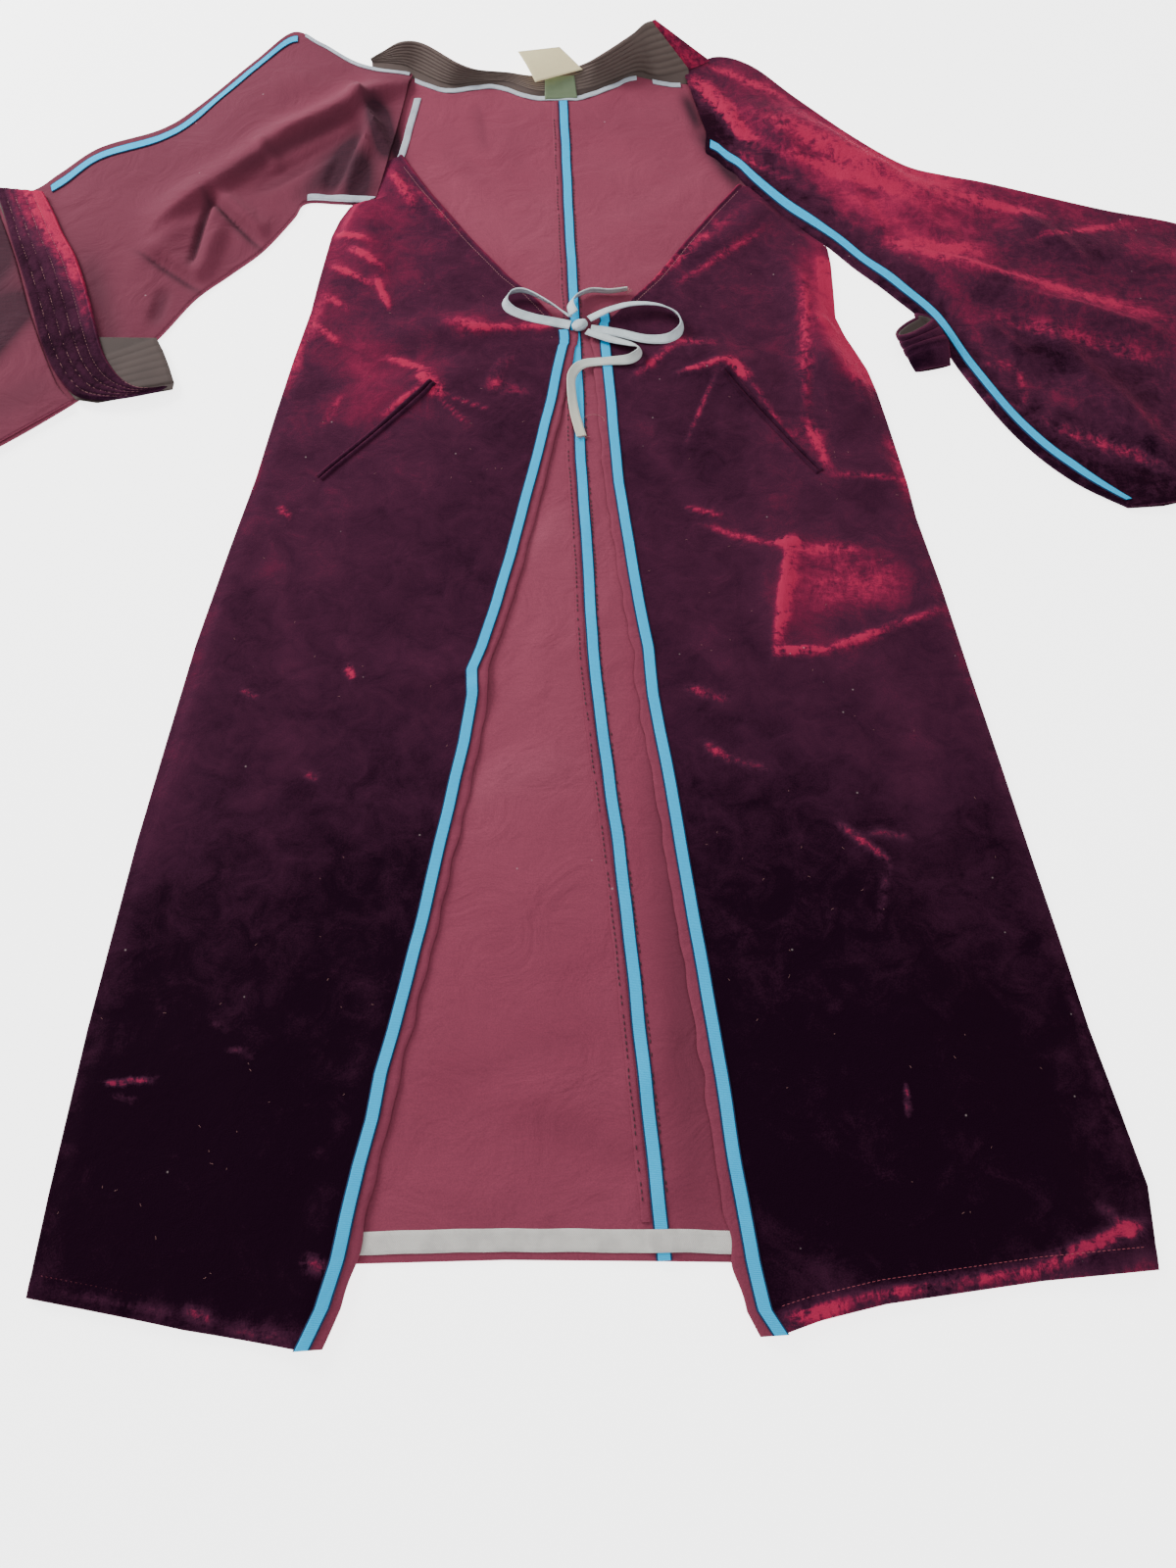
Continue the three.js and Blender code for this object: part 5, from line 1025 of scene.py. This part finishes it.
def back_trims():
    """Tape and allowance of the centre back seam, hem tape, and bindings of the neck and armhole."""
    neck = float(read(BACK_RIGHT_NECK, 0.12)) - BINDING_WIDTH - 0.8
    hem = float(back_hem(np.array(0.0)))
    y = np.linspace(hem + SEAM_GAP, neck, 360)[:, None]
    across = CROSSWISE * TAPE_WIDTH / 2
    x = centre_back(y) + across + ripple(np.zeros_like(y), y, 21, 80, 0.3)
    base = ON_BACK + back_rise(x, y) + 0.15 * (1 + np.sin(y / 6.4 + 2.2 * np.sin(y / 41.0)))
    ribbon("tape_back", x, y, base, across, grosgrain)
    y = np.linspace(hem + 29, neck, 300)[:, None]
    reach = np.linspace(0, 1, 7)[None, :]
    x = centre_back(y) + (-TAPE_WIDTH / 2 - 0.8) - reach * (8 + ripple(np.zeros_like(y), y, 23, 50, 0.5))
    height = rounded(np.minimum(reach, 1 - reach) * 8, 1.0, TAPE) + 0.15 * ripple(x, y, 24, 12, 1.0) * reach
    base = ON_BACK + back_rise(x, y)
    shell("allowance_back", grid(x, y, base + np.maximum(height, 0.15)), grid(x, y, base), wrong_side, None,
          {"tone_and_painted_light": np.full(x.shape, -0.05)})
    x = np.linspace(left_side(0.0) + SIDE_ROLL + 4, right_side(0.0) - SIDE_ROLL - 4, 420)[:, None]
    across = CROSSWISE * HEM_TAPE_WIDTH / 2
    y = back_hem(x) + 14.5 + across + 0.4 * ripple(x, np.zeros_like(x), 31, 60, 1.0)
    climb = 1 - ease(np.abs(x - centre_back(0.0)), 7.5, 14)
    base = ON_BACK + (TAPE + SEAM_GAP + 0.3) * climb + back_rise(x, y)
    top = base + rounded(HEM_TAPE_WIDTH / 2 - np.abs(across), 0.9, TAPE)
    shell("hem_tape_back", grid(x, y, top), grid(x, y, base), hem_tape, tape_uv(x, across))
    half = (BINDING_WIDTH - 0.5) / 2
    for name, share in (("binding_neck", np.linspace(-0.97, 0.6, 300)),
                        ("binding_shoulder_right", np.linspace(0.72, 0.93, 40))):
        left = share < 0
        edge = np.where(left, read(BACK_LEFT_NECK, np.abs(share)), read(BACK_RIGHT_NECK, np.abs(share)))
        place = np.abs(share) * np.where(left, left_side(edge), right_side(edge))
        across = CROSSWISE * half
        x = place[:, None] + 0 * across
        y = edge[:, None] - 0.5 - half + across
        base = ON_BACK + back_rise(x, y) + 0.2 * (1 + np.sin(x / 4.0))
        top = base + rounded(half - np.abs(across), 0.9, TAPE)
        shell(name, grid(x, y, top), grid(x, y, base), pale_binding, tape_uv(x, across))
    y = np.linspace(1272, 1392, 70)[:, None]
    across = CROSSWISE * BINDING_WIDTH / 2
    x = read(ARMHOLE_BINDING, y) + across
    ribbon("binding_armhole_left", x, y + 0 * x, ON_BACK + 0.15 * (1 + np.sin(y / 5.0)) + 0 * x, across, pale_binding)


def pockets():
    """Double-welt pockets: two narrow rolls of velvet along each slanted cut."""
    run = np.linspace(0, POCKET_LENGTH, 130)[:, None]
    reach = np.array([[0.0, 0.12, 0.3, 0.5, 0.7, 0.88, 1.0]])
    for side, x0, y0, angle, upper in (("left", -170, 900, -135, -1), ("right", 151, 900, -60.4, 1)):
        turn = math.radians(angle)
        ax, ay = math.cos(turn), math.sin(turn)
        for which, toward in (("upper", upper), ("lower", -upper)):
            far = (0.15 + reach * 5.0) * toward
            x = x0 + ax * run - ay * far
            y = y0 + ay * run + ax * far
            base = front_under(x, y) + VELVET + 0.35
            ends = rounded(np.minimum(run, POCKET_LENGTH - run), 3.0, 1.0)
            height = 1.9 * np.sqrt(np.clip(1 - (2 * reach - 1) ** 2, 0.02, 1)) * ends
            # Each welt paler towards its outer side: painted sheen.
            welt_painted_sheen = np.broadcast_to(0.05 + 0.12 * reach, x.shape)
            shell("pocket_%s_welt_%s" % (side, which), grid(x, y, base + height), grid(x, y, base - 0.3), velvet, None,
                  {"tone_and_painted_light": welt_painted_sheen, "crush": np.full(x.shape, 0.1)})


# Sleeves


def crowned(w, across, rise, settle):
    """A sleeve's upper ply: a rounded edge, and a low puff with its folds that settles towards both edges."""
    near = np.minimum(w, 1 - w)
    edge = 4.0 * np.sqrt(1 - (1 - np.clip(near * across / 4.5, 0.02, 1)) ** 2)
    puff = 3.5 * np.sin(math.pi * np.clip(w, 0, 1)) ** 0.8
    return edge + (puff + rise) * ease(near, 0, settle)


def left_top(x, y, w, s, across):
    """Top of the left sleeve, flattened towards the cuff."""
    rise = np.maximum(1.4 * folds(LEFT_SLEEVE_CREASES, x, y) + ripple(x, y, 7, 110, 0.9), -3.4)
    crown = crowned(w, across, rise, 0.1)
    return lerp(crown, np.minimum(crown, 5.6), ease(s, 0.56, 0.68))


def right_top(x, y, w, s, across):
    """Top of the right sleeve, over the stretch turned under."""
    rise = folds(RIGHT_SLEEVE_FOLDS, x, y) + folds(RIGHT_SLEEVE_CREASES, x, y) + ripple(x, y, 9, 90, 0.9)
    return right_floor(s) + crowned(w, across, np.maximum(rise, -3.0), 0.16)


def right_floor(s):
    """Underside of the right sleeve: on the surface, and on the turned-under stretch towards its end."""
    return (VELVET + 0.6) * ease(s, 0.42, 0.56)


def sleeve_places(rows, s, w):
    """Plan of a sleeve: straight across between its edges, its first end drawn in to the body's side line."""
    ends = through(rows, s)
    x = lerp(ends[..., 0], ends[..., 2], w)
    y = lerp(ends[..., 1], ends[..., 3], w)
    across = np.hypot(ends[..., 0] - ends[..., 2], ends[..., 1] - ends[..., 3])
    if rows is LEFT_SLEEVE:
        side = left_side(y) + 2.0
        x = np.where(s < 0.06, np.maximum(x, lerp(side, x, ease(s, 0, 0.06))), x)
        y = y + 6.0 * (1 - ease(w, 0, 0.1)) * ease(s, 0.2, 0.3) * (1 - ease(s, 0.72, 0.76))
    else:
        side = right_side(y) - 3.0
        x = np.where(s < 0.06, np.minimum(x, lerp(side, x, ease(s, 0, 0.06))), x)
        near = ease(w, 0.8, 1.0) * (1 - ease(s, 0.34, 0.42)) * (1 + ease(s, 0.2, 0.1))
        x, y = x - 4.0 * near, y - 4.0 * near
        corner, dx, dy = np.asarray(SLEEVE_END, float).T
        x = x + np.interp(1 - w, corner, dx) * ease(s, 0.9, 1)
        y = y + np.interp(1 - w, corner, dy) * ease(s, 0.9, 1)
    return x, y, across


def sleeve(name, rows, top, floor, finish, marks_of):
    """A sleeve: a flattened tube, its upper ply shaped by 'top' and its lower one on the surface."""
    s = np.linspace(0, 1, 170)[:, None]
    crown = shares(90, (1, 1), 250)[None, :]
    under = np.linspace(1, 0, 18)[None, :]
    x, y, across = sleeve_places(rows, s, crown)
    fx, fy, _ = sleeve_places(rows, s, under)
    base = floor(s) + 0 * fx
    outer = np.concatenate([grid(x, y, top(x, y, crown, s, across)), grid(fx, fy, base)], 1)
    inset = 1.8 / across
    crown, under = np.clip(crown, inset, 1 - inset), np.clip(under, inset, 1 - inset)
    x, y, _ = sleeve_places(rows, s, crown)
    z = np.maximum(top(x, y, crown, s, across) - 1.4, floor(s) + 1.5)
    fx, fy, _ = sleeve_places(rows, s, under)
    inner = np.concatenate([grid(x, y, z), grid(fx, fy, base + 1.4)], 1)
    tube(name, outer, inner, finish, None, marks_of(outer[..., 0], outer[..., 1], s))


def sleeve_ribbon(name, rows, top, start, end, near, reach, width, finish, stations):
    """A tape on a sleeve's top from one share of its length to another, at a set reach from its far or near
    edge."""
    s = np.linspace(start, end, stations)[:, None]
    ends = through(rows, s)
    across = np.hypot(ends[..., 0] - ends[..., 2], ends[..., 1] - ends[..., 3])
    off = CROSSWISE * width / 2
    share = (reach + width / 2 + off) / across
    w = 1 - share if near else share
    x, y, _ = sleeve_places(rows, s, w)
    base = top(x, y, w, s, across) + 0.5
    points = grid(x, y, base + rounded(width / 2 - np.abs(off), 0.9, TAPE))
    shell(name, points, grid(x, y, base), finish, tape_uv(lengthwise(points), off))


def left_sleeve_marks(x, y, s):
    """Paleness of the left sleeve's wrong side: painted shade in its creases and armhole hollow and painted highlights
    on two ridges, the whole a good deal darker and a little paler towards the shoulder.
    """
    return {"tone_and_painted_light": folds(LEFT_SLEEVE_SHADE_AND_HIGHLIGHTS, x, y) - 0.46 + 0.06 * ease(s, 0.5, 0.2)}


def right_sleeve_marks(x, y, s):
    """Pile of the right sleeve: how pale it lies, with painted shade and highlights added, and how much it is crushed.
    """
    crushed = folds(SLEEVE_MARKS, x, y)
    return {"tone_and_painted_light": 0.17 + crushed * 0.24 + read(SLEEVE_NAP, s) + sleeve_shade(x, y),
            "crush": 0.2 + np.clip(crushed, 0, 1) * 0.75}


def sleeves():
    """Both sleeves, their tapes and bindings, the left one's end turned back and the right one's turned under."""
    sleeve("sleeve_left", LEFT_SLEEVE, left_top, lambda s: 0.0 * s, wrong_side, left_sleeve_marks)
    sleeve("sleeve_right", RIGHT_SLEEVE, right_top, right_floor, velvet, right_sleeve_marks)
    for name, rows, top, start, end, near, reach, width, finish, stations in (
            ("tape_sleeve_left", LEFT_SLEEVE, left_top, 0.26, 0.74, False, 12, TAPE_WIDTH, grosgrain, 260),
            ("tape_sleeve_right", RIGHT_SLEEVE, right_top, 0.03, 0.98, True, 9, TAPE_WIDTH, grosgrain, 320),
            ("binding_shoulder_left", LEFT_SLEEVE, left_top, 0.02, 0.235, False, 1, BINDING_WIDTH, pale_binding, 90),
            ("binding_underarm_left", LEFT_SLEEVE, left_top, 0.01, 0.175, True, 1.5, BINDING_WIDTH, pale_binding, 70)):
        sleeve_ribbon(name, rows, top, start, end, near, reach, width, finish, stations)
    x, y, edge = band(LEFT_TURNBACK, shares(40, (1, 1), 130), np.linspace(0, 1, 120))
    rise = np.maximum(folds(TURNBACK_FOLDS, x, y) + 0.5, 0)
    height = rounded(edge, EDGE_ROUND, VELVET) + rise * ease(edge, 0, 12)
    shell("sleeve_left_turnback", grid(x, y, LAID_LOW + height), grid(x, y, LAID_LOW), wrong_side, None,
          {"tone_and_painted_light": folds(TURNBACK_SHADE, x, y) - 0.44})
    s = np.linspace(0.64, 0.99, 70)[:, None]
    x, y, _ = sleeve_places(RIGHT_SLEEVE, s, np.linspace(0.03, 0.97, 40)[None, :])
    shell("sleeve_right_turnunder", grid(x, y, VELVET), grid(x, y, 0.0), velvet, None,
          {"tone_and_painted_light": 0 * x + 0.1, "crush": 0 * x + 0.1})


def band(rows, across, along):
    """Plan of a band between its outer and inner edges, and each place's distance from its nearest edge."""
    ends = through(rows, along[:, None])
    a = across[None, :]
    x, y = lerp(ends[..., 0], ends[..., 2], a), lerp(ends[..., 1], ends[..., 3], a)
    sideways = np.minimum(a, 1 - a) * np.hypot(ends[..., 0] - ends[..., 2], ends[..., 1] - ends[..., 3])
    run = lengthwise(grid(x, y, 0.0))
    return x, y, np.minimum(sideways, np.minimum(run, run[-1:] - run))


def channels(share, lines):
    """Crowns between stitched lines: the height rises steeply from each line and is round between."""
    lines = np.asarray(lines, float)
    k = np.clip(np.searchsorted(lines, share, side="right") - 1, 0, len(lines) - 2)
    t = (share - lines[k]) / (lines[k + 1] - lines[k])
    return np.sin(math.pi * np.clip(t, 0, 1)) ** 0.55


def left_cuff():
    """The left cuff, turned back over its sleeve, and the one triangle of its facing that shows beyond it, with
    its channels along the fold."""
    along = np.linspace(0, 1, 120)
    across = np.linspace(0, 1, 64)
    x, y, edge = band(LEFT_CUFF, across, along)
    share = np.broadcast_to(across[None, :], x.shape)
    crown = channels(share, CUFF_LINES) * np.where(share < CUFF_LINES[-2], 0.9, 1.2)
    pucker = 0.12 * ripple(x, y, 61, 7, 1.0) * (share < 0.62)
    height = rounded(edge, 2.4, 2.4) + (crown + pucker) * ease(edge, 0, 2.5)
    # Paler in broad zones of the band, and darker in the stitched grooves between channels: painted shade there.
    cuff_tone_and_shade = (0.2 * ease(share, 0.3, 0.75) * ease(y, 1010, 1130) + 0.22 * ease(share, 0.6, 0.9) * ease(y, 950, 1040)
              + 0.2 * ease(y, 1110, 1200) * ease(share, 0.02, 0.4) - 0.14 * (1 - crown) + 0.02)
    shell("cuff_left", grid(x, y, CUFF_LOW + height), grid(x, y, CUFF_LOW), velvet, None,
          {"tone_and_painted_light": cuff_tone_and_shade, "crush": 0.12 + 0.9 * np.clip(cuff_tone_and_shade, 0, 1)})
    rows = np.asarray(FACING_TRIANGLE, float)
    place = np.linspace(0, len(rows) - 1, 140)
    ox, oy, ix, iy = (np.interp(place, np.arange(len(rows)), rows[:, k])[:, None] for k in range(4))
    a = np.linspace(0, 1, 40)[None, :]
    x, y = lerp(ox, ix, a), lerp(oy, iy, a)
    run = np.broadcast_to(((place - 5) / 3)[:, None], x.shape)
    crown = channels(np.clip(run, 0, 0.999), np.linspace(0, 1, 7)) * (run > 0)
    edge = np.minimum(np.minimum(a, 1 - a) * 90, (1 - run) * 60)
    height = rounded(edge, 1.4, 1.2) + 0.5 * crown * ease(edge, 0, 2)
    # Dark overall, and darker in the grooves between the channels: painted shade there.
    shell("cuff_left_facing", grid(x, y, LAID_LOW + height), grid(x, y, LAID_LOW), facing, None,
          {"tone_and_painted_light": 0.25 * crown - 0.5 + 0.1 * a})


def rolled(station, turn, inset):
    """Rings of the rolled right cuff, drawn in by 'inset': it points back under the sleeve, its lower ply
    reaches past the upper one at the mouth, and its far end is pressed shut."""
    mouth_x, mouth_y, turned, length, wide, tall = RIGHT_CUFF
    closing = ease(station, 0.62, 1)
    out = (wide * (1 - 0.22 * closing) - inset) * np.cos(turn)
    up = (1 - 0.8 * closing) * (tall + (tall - inset) * np.sin(turn)) + 1.1
    place = length * station + (1.6 * (up - 3) - 0.42 * out) * (1 - station) ** 1.5
    aim = math.radians(turned)
    x = mouth_x + place * math.cos(aim) - out * math.sin(aim)
    y = mouth_y + place * math.sin(aim) + out * math.cos(aim)
    lower_edge = np.asarray(RIGHT_SLEEVE)[:, 2:]
    sleeve_edge = np.interp(-y, -lower_edge[:, 1], lower_edge[:, 0])
    return grid(np.minimum(x, sleeve_edge - 1.0 - 0.4 * inset), y, up)


def right_cuff():
    """The rolled right cuff in channels between its lines of stitches, and its facing inside."""
    turn = np.linspace(0, 2 * math.pi, 96, endpoint=False)[None, :]
    t = np.linspace(0, 1, 73)[:, None]
    crown = channels(t + 0 * turn, np.linspace(0, 1, 5))
    # Paler on the roll's outer side, a painted sheen, and paler in the stitched grooves.
    tube("cuff_right", rolled(t, turn, -0.95 * crown + 0.1), rolled(t, turn, 2.4 + 0 * crown), velvet, None,
         {"tone_and_painted_light": 0.1 * np.cos(turn) + 0.1 + 0.15 * (1 - crown), "crush": 0.05 + 0 * crown})
    t = np.linspace(0.03, 0.97, 26)[:, None]
    crown = channels(t + 0 * turn, np.linspace(0, 1, 5))
    # Darker inside the roll: painted shade.
    tube("cuff_right_facing", rolled(t, turn, 2.75 + 0 * crown), rolled(t, turn, 4.0 + 0.35 * crown), facing, None,
         {"tone_and_painted_light": 0.1 * crown - 0.8})


def on_collar(t, u, out):
    """Place on the stand collar: straight up from its neck seam to its top edge, moved out square to it."""
    ahead, behind = through(COLLAR, np.clip(t + 0.02, 0, 1)), through(COLLAR, np.clip(t - 0.02, 0, 1))
    here = through(COLLAR, t)
    foot, rise = here[..., :3], here[..., 3:] - here[..., :3]
    square = np.cross(rise, (ahead - behind)[..., :3])
    square /= np.linalg.norm(square, axis=-1)[..., None]
    square *= np.where(square[..., 1:2] > 0, -1, 1)
    return foot + rise * u[..., None] + square * out[..., None]


def neck_edge(x):
    """The back's neck edge at x."""
    left = read(BACK_LEFT_NECK, np.clip(x / left_side(1410.0), 0, 1))
    right = read(BACK_RIGHT_NECK, np.clip(x / right_side(1410.0), 0, 1))
    return np.where(x < 0, left, right)


def collar():
    """The stand collar: brown facing in stitched channels inside, velvet outside, wrapped over one end. The
    facing goes on below the neck seam, down to the back."""
    t, u = np.meshgrid(np.linspace(0, 0.927, 150), np.linspace(-0.35, 1, 76), indexing="ij")
    rise = np.maximum(u, 0)
    crown = channels(np.clip(rise, 0, 0.999), np.linspace(0, 1, 9)) * (u > 0)
    edge = rounded(np.minimum(u + 0.35, 1 - u) * 42, 1.5, 1.0)
    face = 1.5 * edge + 1.0 * crown + 0.15 * ripple(t * 400, u * 40, 71, 9, 1.0)
    top, under = on_collar(t, rise, face), on_collar(t, rise, 0 * u)
    drop = np.clip(-u / 0.35, 0, 1)
    for wall_side, lift in ((top, 1.0), (under, 0.2)):
        neck_y = neck_edge(wall_side[..., 0]) + 0.6
        wall_side[..., 1] = lerp(wall_side[..., 1], np.minimum(neck_y, wall_side[..., 1]), drop)
        wall_side[..., 2] = lerp(wall_side[..., 2], lift, drop)
    shell("collar_facing", top, under, facing, None, {"tone_and_painted_light": 0.4 * crown + 0.15})
    t, u = np.meshgrid(np.linspace(0, 1, 120), np.linspace(0, 1, 40), indexing="ij")
    edge = rounded(np.minimum(u, 1 - u) * 42, 1.5, 1.0)
    outer, inner = on_collar(t, u, -1.6 - 1.6 * edge), on_collar(t, u, -1.6 + 0 * u)
    outer[..., 2] = np.maximum(outer[..., 2], 0.05)
    shell("collar", inner, outer, velvet, None, {"tone_and_painted_light": 0.45 + 0 * u, "crush": 0.4 + 0 * u})


def labels():
    """Blank woven labels: each a sheet between its corners, bowed a little."""
    u, v = np.meshgrid(np.linspace(0, 1, 40), np.linspace(0, 1, 40), indexing="ij")
    for name, corners, finish, bow in (("label_lower", LABEL_LOWER, green_label, 0.8),
                                       ("label_upper", LABEL_UPPER, cream_label, 2.0)):
        c = np.asarray(corners, float)
        base = lerp(lerp(c[0], c[1], v[..., None]), lerp(c[3], c[2], v[..., None]), u[..., None])
        base[..., 2] += bow * np.sin(math.pi * u) * (0.6 + 0.4 * np.cos(3 * v))
        top = base.copy()
        top[..., 2] += rounded(np.minimum(np.minimum(u, 1 - u), np.minimum(v, 1 - v)) * 35, 0.8, 0.9)
        shell(name, top, base, finish)


def sleeve_shade(x, y):
    """Painted shade on the right sleeve: dark along its tape and in the hollows above it, with painted highlights on
    the ridges between.
    """
    near_tape = read(TAPE_SHADE, above_tape(x, y) + ripple(x, y, 81, 22, 9.0))
    return folds(SLEEVE_SHADE_AND_HIGHLIGHTS, x, y) - 0.38 * near_tape


def above_tape(x, y):
    """Distance up from the right sleeve's lower edge, taken straight up the cloth."""
    edge = np.asarray(RIGHT_SLEEVE, float)
    return (y - np.interp(x, edge[:, 2], edge[:, 3])) * 0.6


def threads(name, paths, radius, finish):
    """Thread laid along short paths: each step of a path is a rounded spindle of five sides, closed at its
    ends; all of them are one mesh."""
    starts = np.concatenate([np.asarray(p, float)[:-1] for p in paths])[:, None, :]
    ends = np.concatenate([np.asarray(p, float)[1:] for p in paths])[:, None, :]
    run = ends - starts
    ahead = run / np.maximum(np.linalg.norm(run, axis=-1, keepdims=True), 1e-6)
    side = np.cross(ahead, (0.0, 0.0, 1.0))
    side /= np.maximum(np.linalg.norm(side, axis=-1, keepdims=True), 1e-6)
    up = np.cross(side, ahead)
    turn = np.linspace(0, 2 * math.pi, 5, endpoint=False)[None, :, None]
    round_it = np.cos(turn) * side + np.sin(turn) * up
    rings = [starts + run * share + radius * thick * round_it for share, thick in ((0.1, 0.7), (0.5, 1.0), (0.9, 0.7))]
    points = np.concatenate([*rings, starts, ends], 1)
    k, n = np.arange(5), (np.arange(5) + 1) % 5
    faces = [np.stack([k + 5 * r, k + 5 * r + 5, n + 5 * r], -1) for r in (0, 1)]
    faces += [np.stack([n + 5 * r, k + 5 * r + 5, n + 5 * r + 5], -1) for r in (0, 1)]
    faces += [np.stack([np.full(5, 15), k, n], -1), np.stack([np.full(5, 16), n + 10, k + 10], -1)]
    one = np.concatenate(faces)[:, ::-1]
    many = one[None] + 17 * np.arange(len(starts))[:, None, None]
    piece(name, points.reshape(-1, 3), many.reshape(-1, 3), finish, replaces=False)


def running(x, y, z, pitch, filled, skip=0.0, seed=1):
    """Stitches along a line: its points in, a short path for each stitch out; a share of them worn away."""
    x, y, z = (np.asarray(a, float).ravel() for a in np.broadcast_arrays(x, y, z))
    far = np.concatenate([[0], np.cumsum(np.hypot(np.diff(x), np.diff(y)))])
    begin = np.arange(pitch, far[-1] - pitch, pitch)
    begin = begin[np.random.default_rng(seed).uniform(0, 1, len(begin)) >= skip]
    stitch = begin[:, None] + pitch * np.array([[0.0, filled]])
    return list(np.stack([np.interp(stitch, far, a) for a in (x, y, z)], -1))


def on_front(x, y, lift):
    """Height of a front's pile, and a little over it or sunk in it."""
    return front_under(x, y) + VELVET + lift


def stitches():
    """Lines of stitches at the neck edges, hems, centre back and left cuff."""
    for name, inner, side, hem, sign, low, high in (
            ("left", left_opening, left_side, FRONT_LEFT_HEM, -1, 985, 1262),
            ("right", right_opening, right_side, FRONT_RIGHT_HEM, 1, 1010, 1190)):
        y = np.linspace(low, high, 200)
        x = inner(y) + sign * 9.6
        threads("stitches_neck_" + name, running(x, y, on_front(x, y, -0.1), 3.4, 0.7), 0.34, tan_thread)
        a = np.linspace(0.03, 0.97, 200)
        y = read(hem, a) + 17
        x = lerp(inner(y), side(y), a)
        threads("stitches_hem_" + name, running(x, y, on_front(x, y, -0.2), 4.0, 0.7), 0.25, crimson_thread)
    for name, at, lift, skip in (("left", -12.8, 1.7, 0.2), ("right", 7.3, 0.35, 0.3)):
        y = np.linspace(30, 1340, 500)
        x = centre_back(y) + at + ripple(0 * y, y, 27, 60, 0.5)
        paths = running(x, y, VELVET + back_rise(x, y) + lift, 5.6, 0.66, skip, 3)
        threads("stitches_back_" + name, paths, 0.55, dark_thread)
    paths = []
    for share in CUFF_LINES[1:-1]:
        x, y, _ = band(LEFT_CUFF, np.array([share]), np.linspace(0.02, 0.9, 240))
        paths += running(x, y, 0 * x + 10.75, 5.0, 0.9, 0.0, 5)
    threads("stitches_cuff_left", paths, 0.3, tan_thread)


def loose_threads():
    """Frayed tape ends with a curl of thread at each, and specks of lint on the fronts."""
    chance = np.random.default_rng(12)
    paths = []
    for x0, y0, z0, aim, count in ((-12, 818, 5.0, -80, 9), (54, 1028, 6.0, 10, 8)):
        square = math.radians(aim)
        for _ in range(count):
            turn = math.radians(aim + chance.uniform(-38, 38))
            bend = chance.uniform(-0.9, 0.9)
            reach = chance.uniform(2.0, 7.0)
            off = chance.uniform(-4.2, 4.2)
            x, y = x0 - off * math.sin(square), y0 + off * math.cos(square)
            paths.append([(x + reach * k * math.cos(turn + bend * k), y + reach * k * math.sin(turn + bend * k),
                           z0 + 0.4 * k) for k in (-0.4, 0.3, 0.7, 1.0)])
    for x0, y0, z0, wide, deep, begin, end, steps in ((2, 838, 5.0, 12, 9, 215, -10, 10),
                                                      (48, 1034, 6.0, 9, 6, 60, 250, 8)):
        turn = np.radians(np.linspace(begin, end, steps))
        paths.append(np.stack([x0 + wide * np.cos(turn), y0 + deep * np.sin(turn), z0 + 0 * turn], -1))
    threads("frayed_ends", paths, 0.24, frayed_thread)
    for name, inner, side, sign in (("left", left_opening, left_side, -1), ("right", right_opening, right_side, 1)):
        y = chance.uniform(0, 1120, LINT_SPECKS)
        x = lerp(inner(y) + sign * 14, side(y) - sign * 8, chance.uniform(0, 1, LINT_SPECKS))
        turn, reach = chance.uniform(0, 6.3, LINT_SPECKS), chance.uniform(0.5, 1.5, LINT_SPECKS)
        bend = chance.uniform(-1.2, 1.2, LINT_SPECKS)
        z = on_front(x, y, 0.25)
        ahead = reach * np.stack([0 * bend - 1, 0 * bend, np.cos(bend)])
        aside = np.stack([0 * bend, 0 * bend, np.sin(bend)])
        place_x = x + ahead * np.cos(turn) - aside * np.sin(turn)
        place_y = y + ahead * np.sin(turn) + aside * np.cos(turn)
        threads("lint_" + name, grid(place_x, place_y, z).transpose(1, 0, 2), 0.16, tan_thread)


# Surroundings


def stage():
    """A pale floor and soft light from the left and from above."""
    mesh = bpy.data.meshes.new("floor")
    mesh.from_pydata([(-6, -6, -0.0006), (6, -6, -0.0006), (6, 9, -0.0006), (-6, 9, -0.0006)], [], [(0, 1, 2, 3)])
    made, t, bsdf, where = material("pale floor", 0.95, 0.1)
    t.feed(bsdf["Base Color"], t.blend(t.noise(where["Object"], 3.0), (0.93, 0.93, 0.93, 1), (0.96, 0.96, 0.96, 1)))
    bsdf["Emission Color"].default_value = (1.0, 1.0, 1.0, 1)
    bsdf["Emission Strength"].default_value = 3.2
    mesh.materials.append(made)
    floor = bpy.data.objects.new("floor", mesh)
    bpy.context.scene.collection.objects.link(floor)
    world = bpy.data.worlds.new("studio")
    world.use_nodes = True
    sky = world.node_tree.nodes["Background"].inputs
    sky["Color"].default_value = (1.0, 1.0, 1.0, 1)
    sky["Strength"].default_value = 0.7
    bpy.context.scene.world = world
    for name, place, aim, size, power, colour in (
        ("window", (-2.0, 1.7, 1.35), (0.0, 0.1, 0.0), 1.1, 95.0, (1.0, 0.985, 0.96)),
        ("ceiling", (0.5, -0.3, 2.6), (0.0, 0.0, 0.0), 2.4, 16.0, (0.97, 0.98, 1.0)),
    ):
        data = bpy.data.lights.new(name, "AREA")
        data.shape = "SQUARE"
        data.size = size
        data.energy = power
        data.color = colour
        lamp = bpy.data.objects.new(name, data)
        lamp.location = place
        dx, dy, dz = np.array(aim) - np.array(place)
        lamp.rotation_euler = (math.atan2(math.hypot(dx, dy), -dz), 0.0, math.atan2(dy, dx) - math.pi / 2)
        bpy.context.scene.collection.objects.link(lamp)


tie()
fronts()
front_edges()
back()
back_trims()
pockets()
sleeves()
left_cuff()
right_cuff()
collar()
labels()
stitches()
loose_threads()
stage()
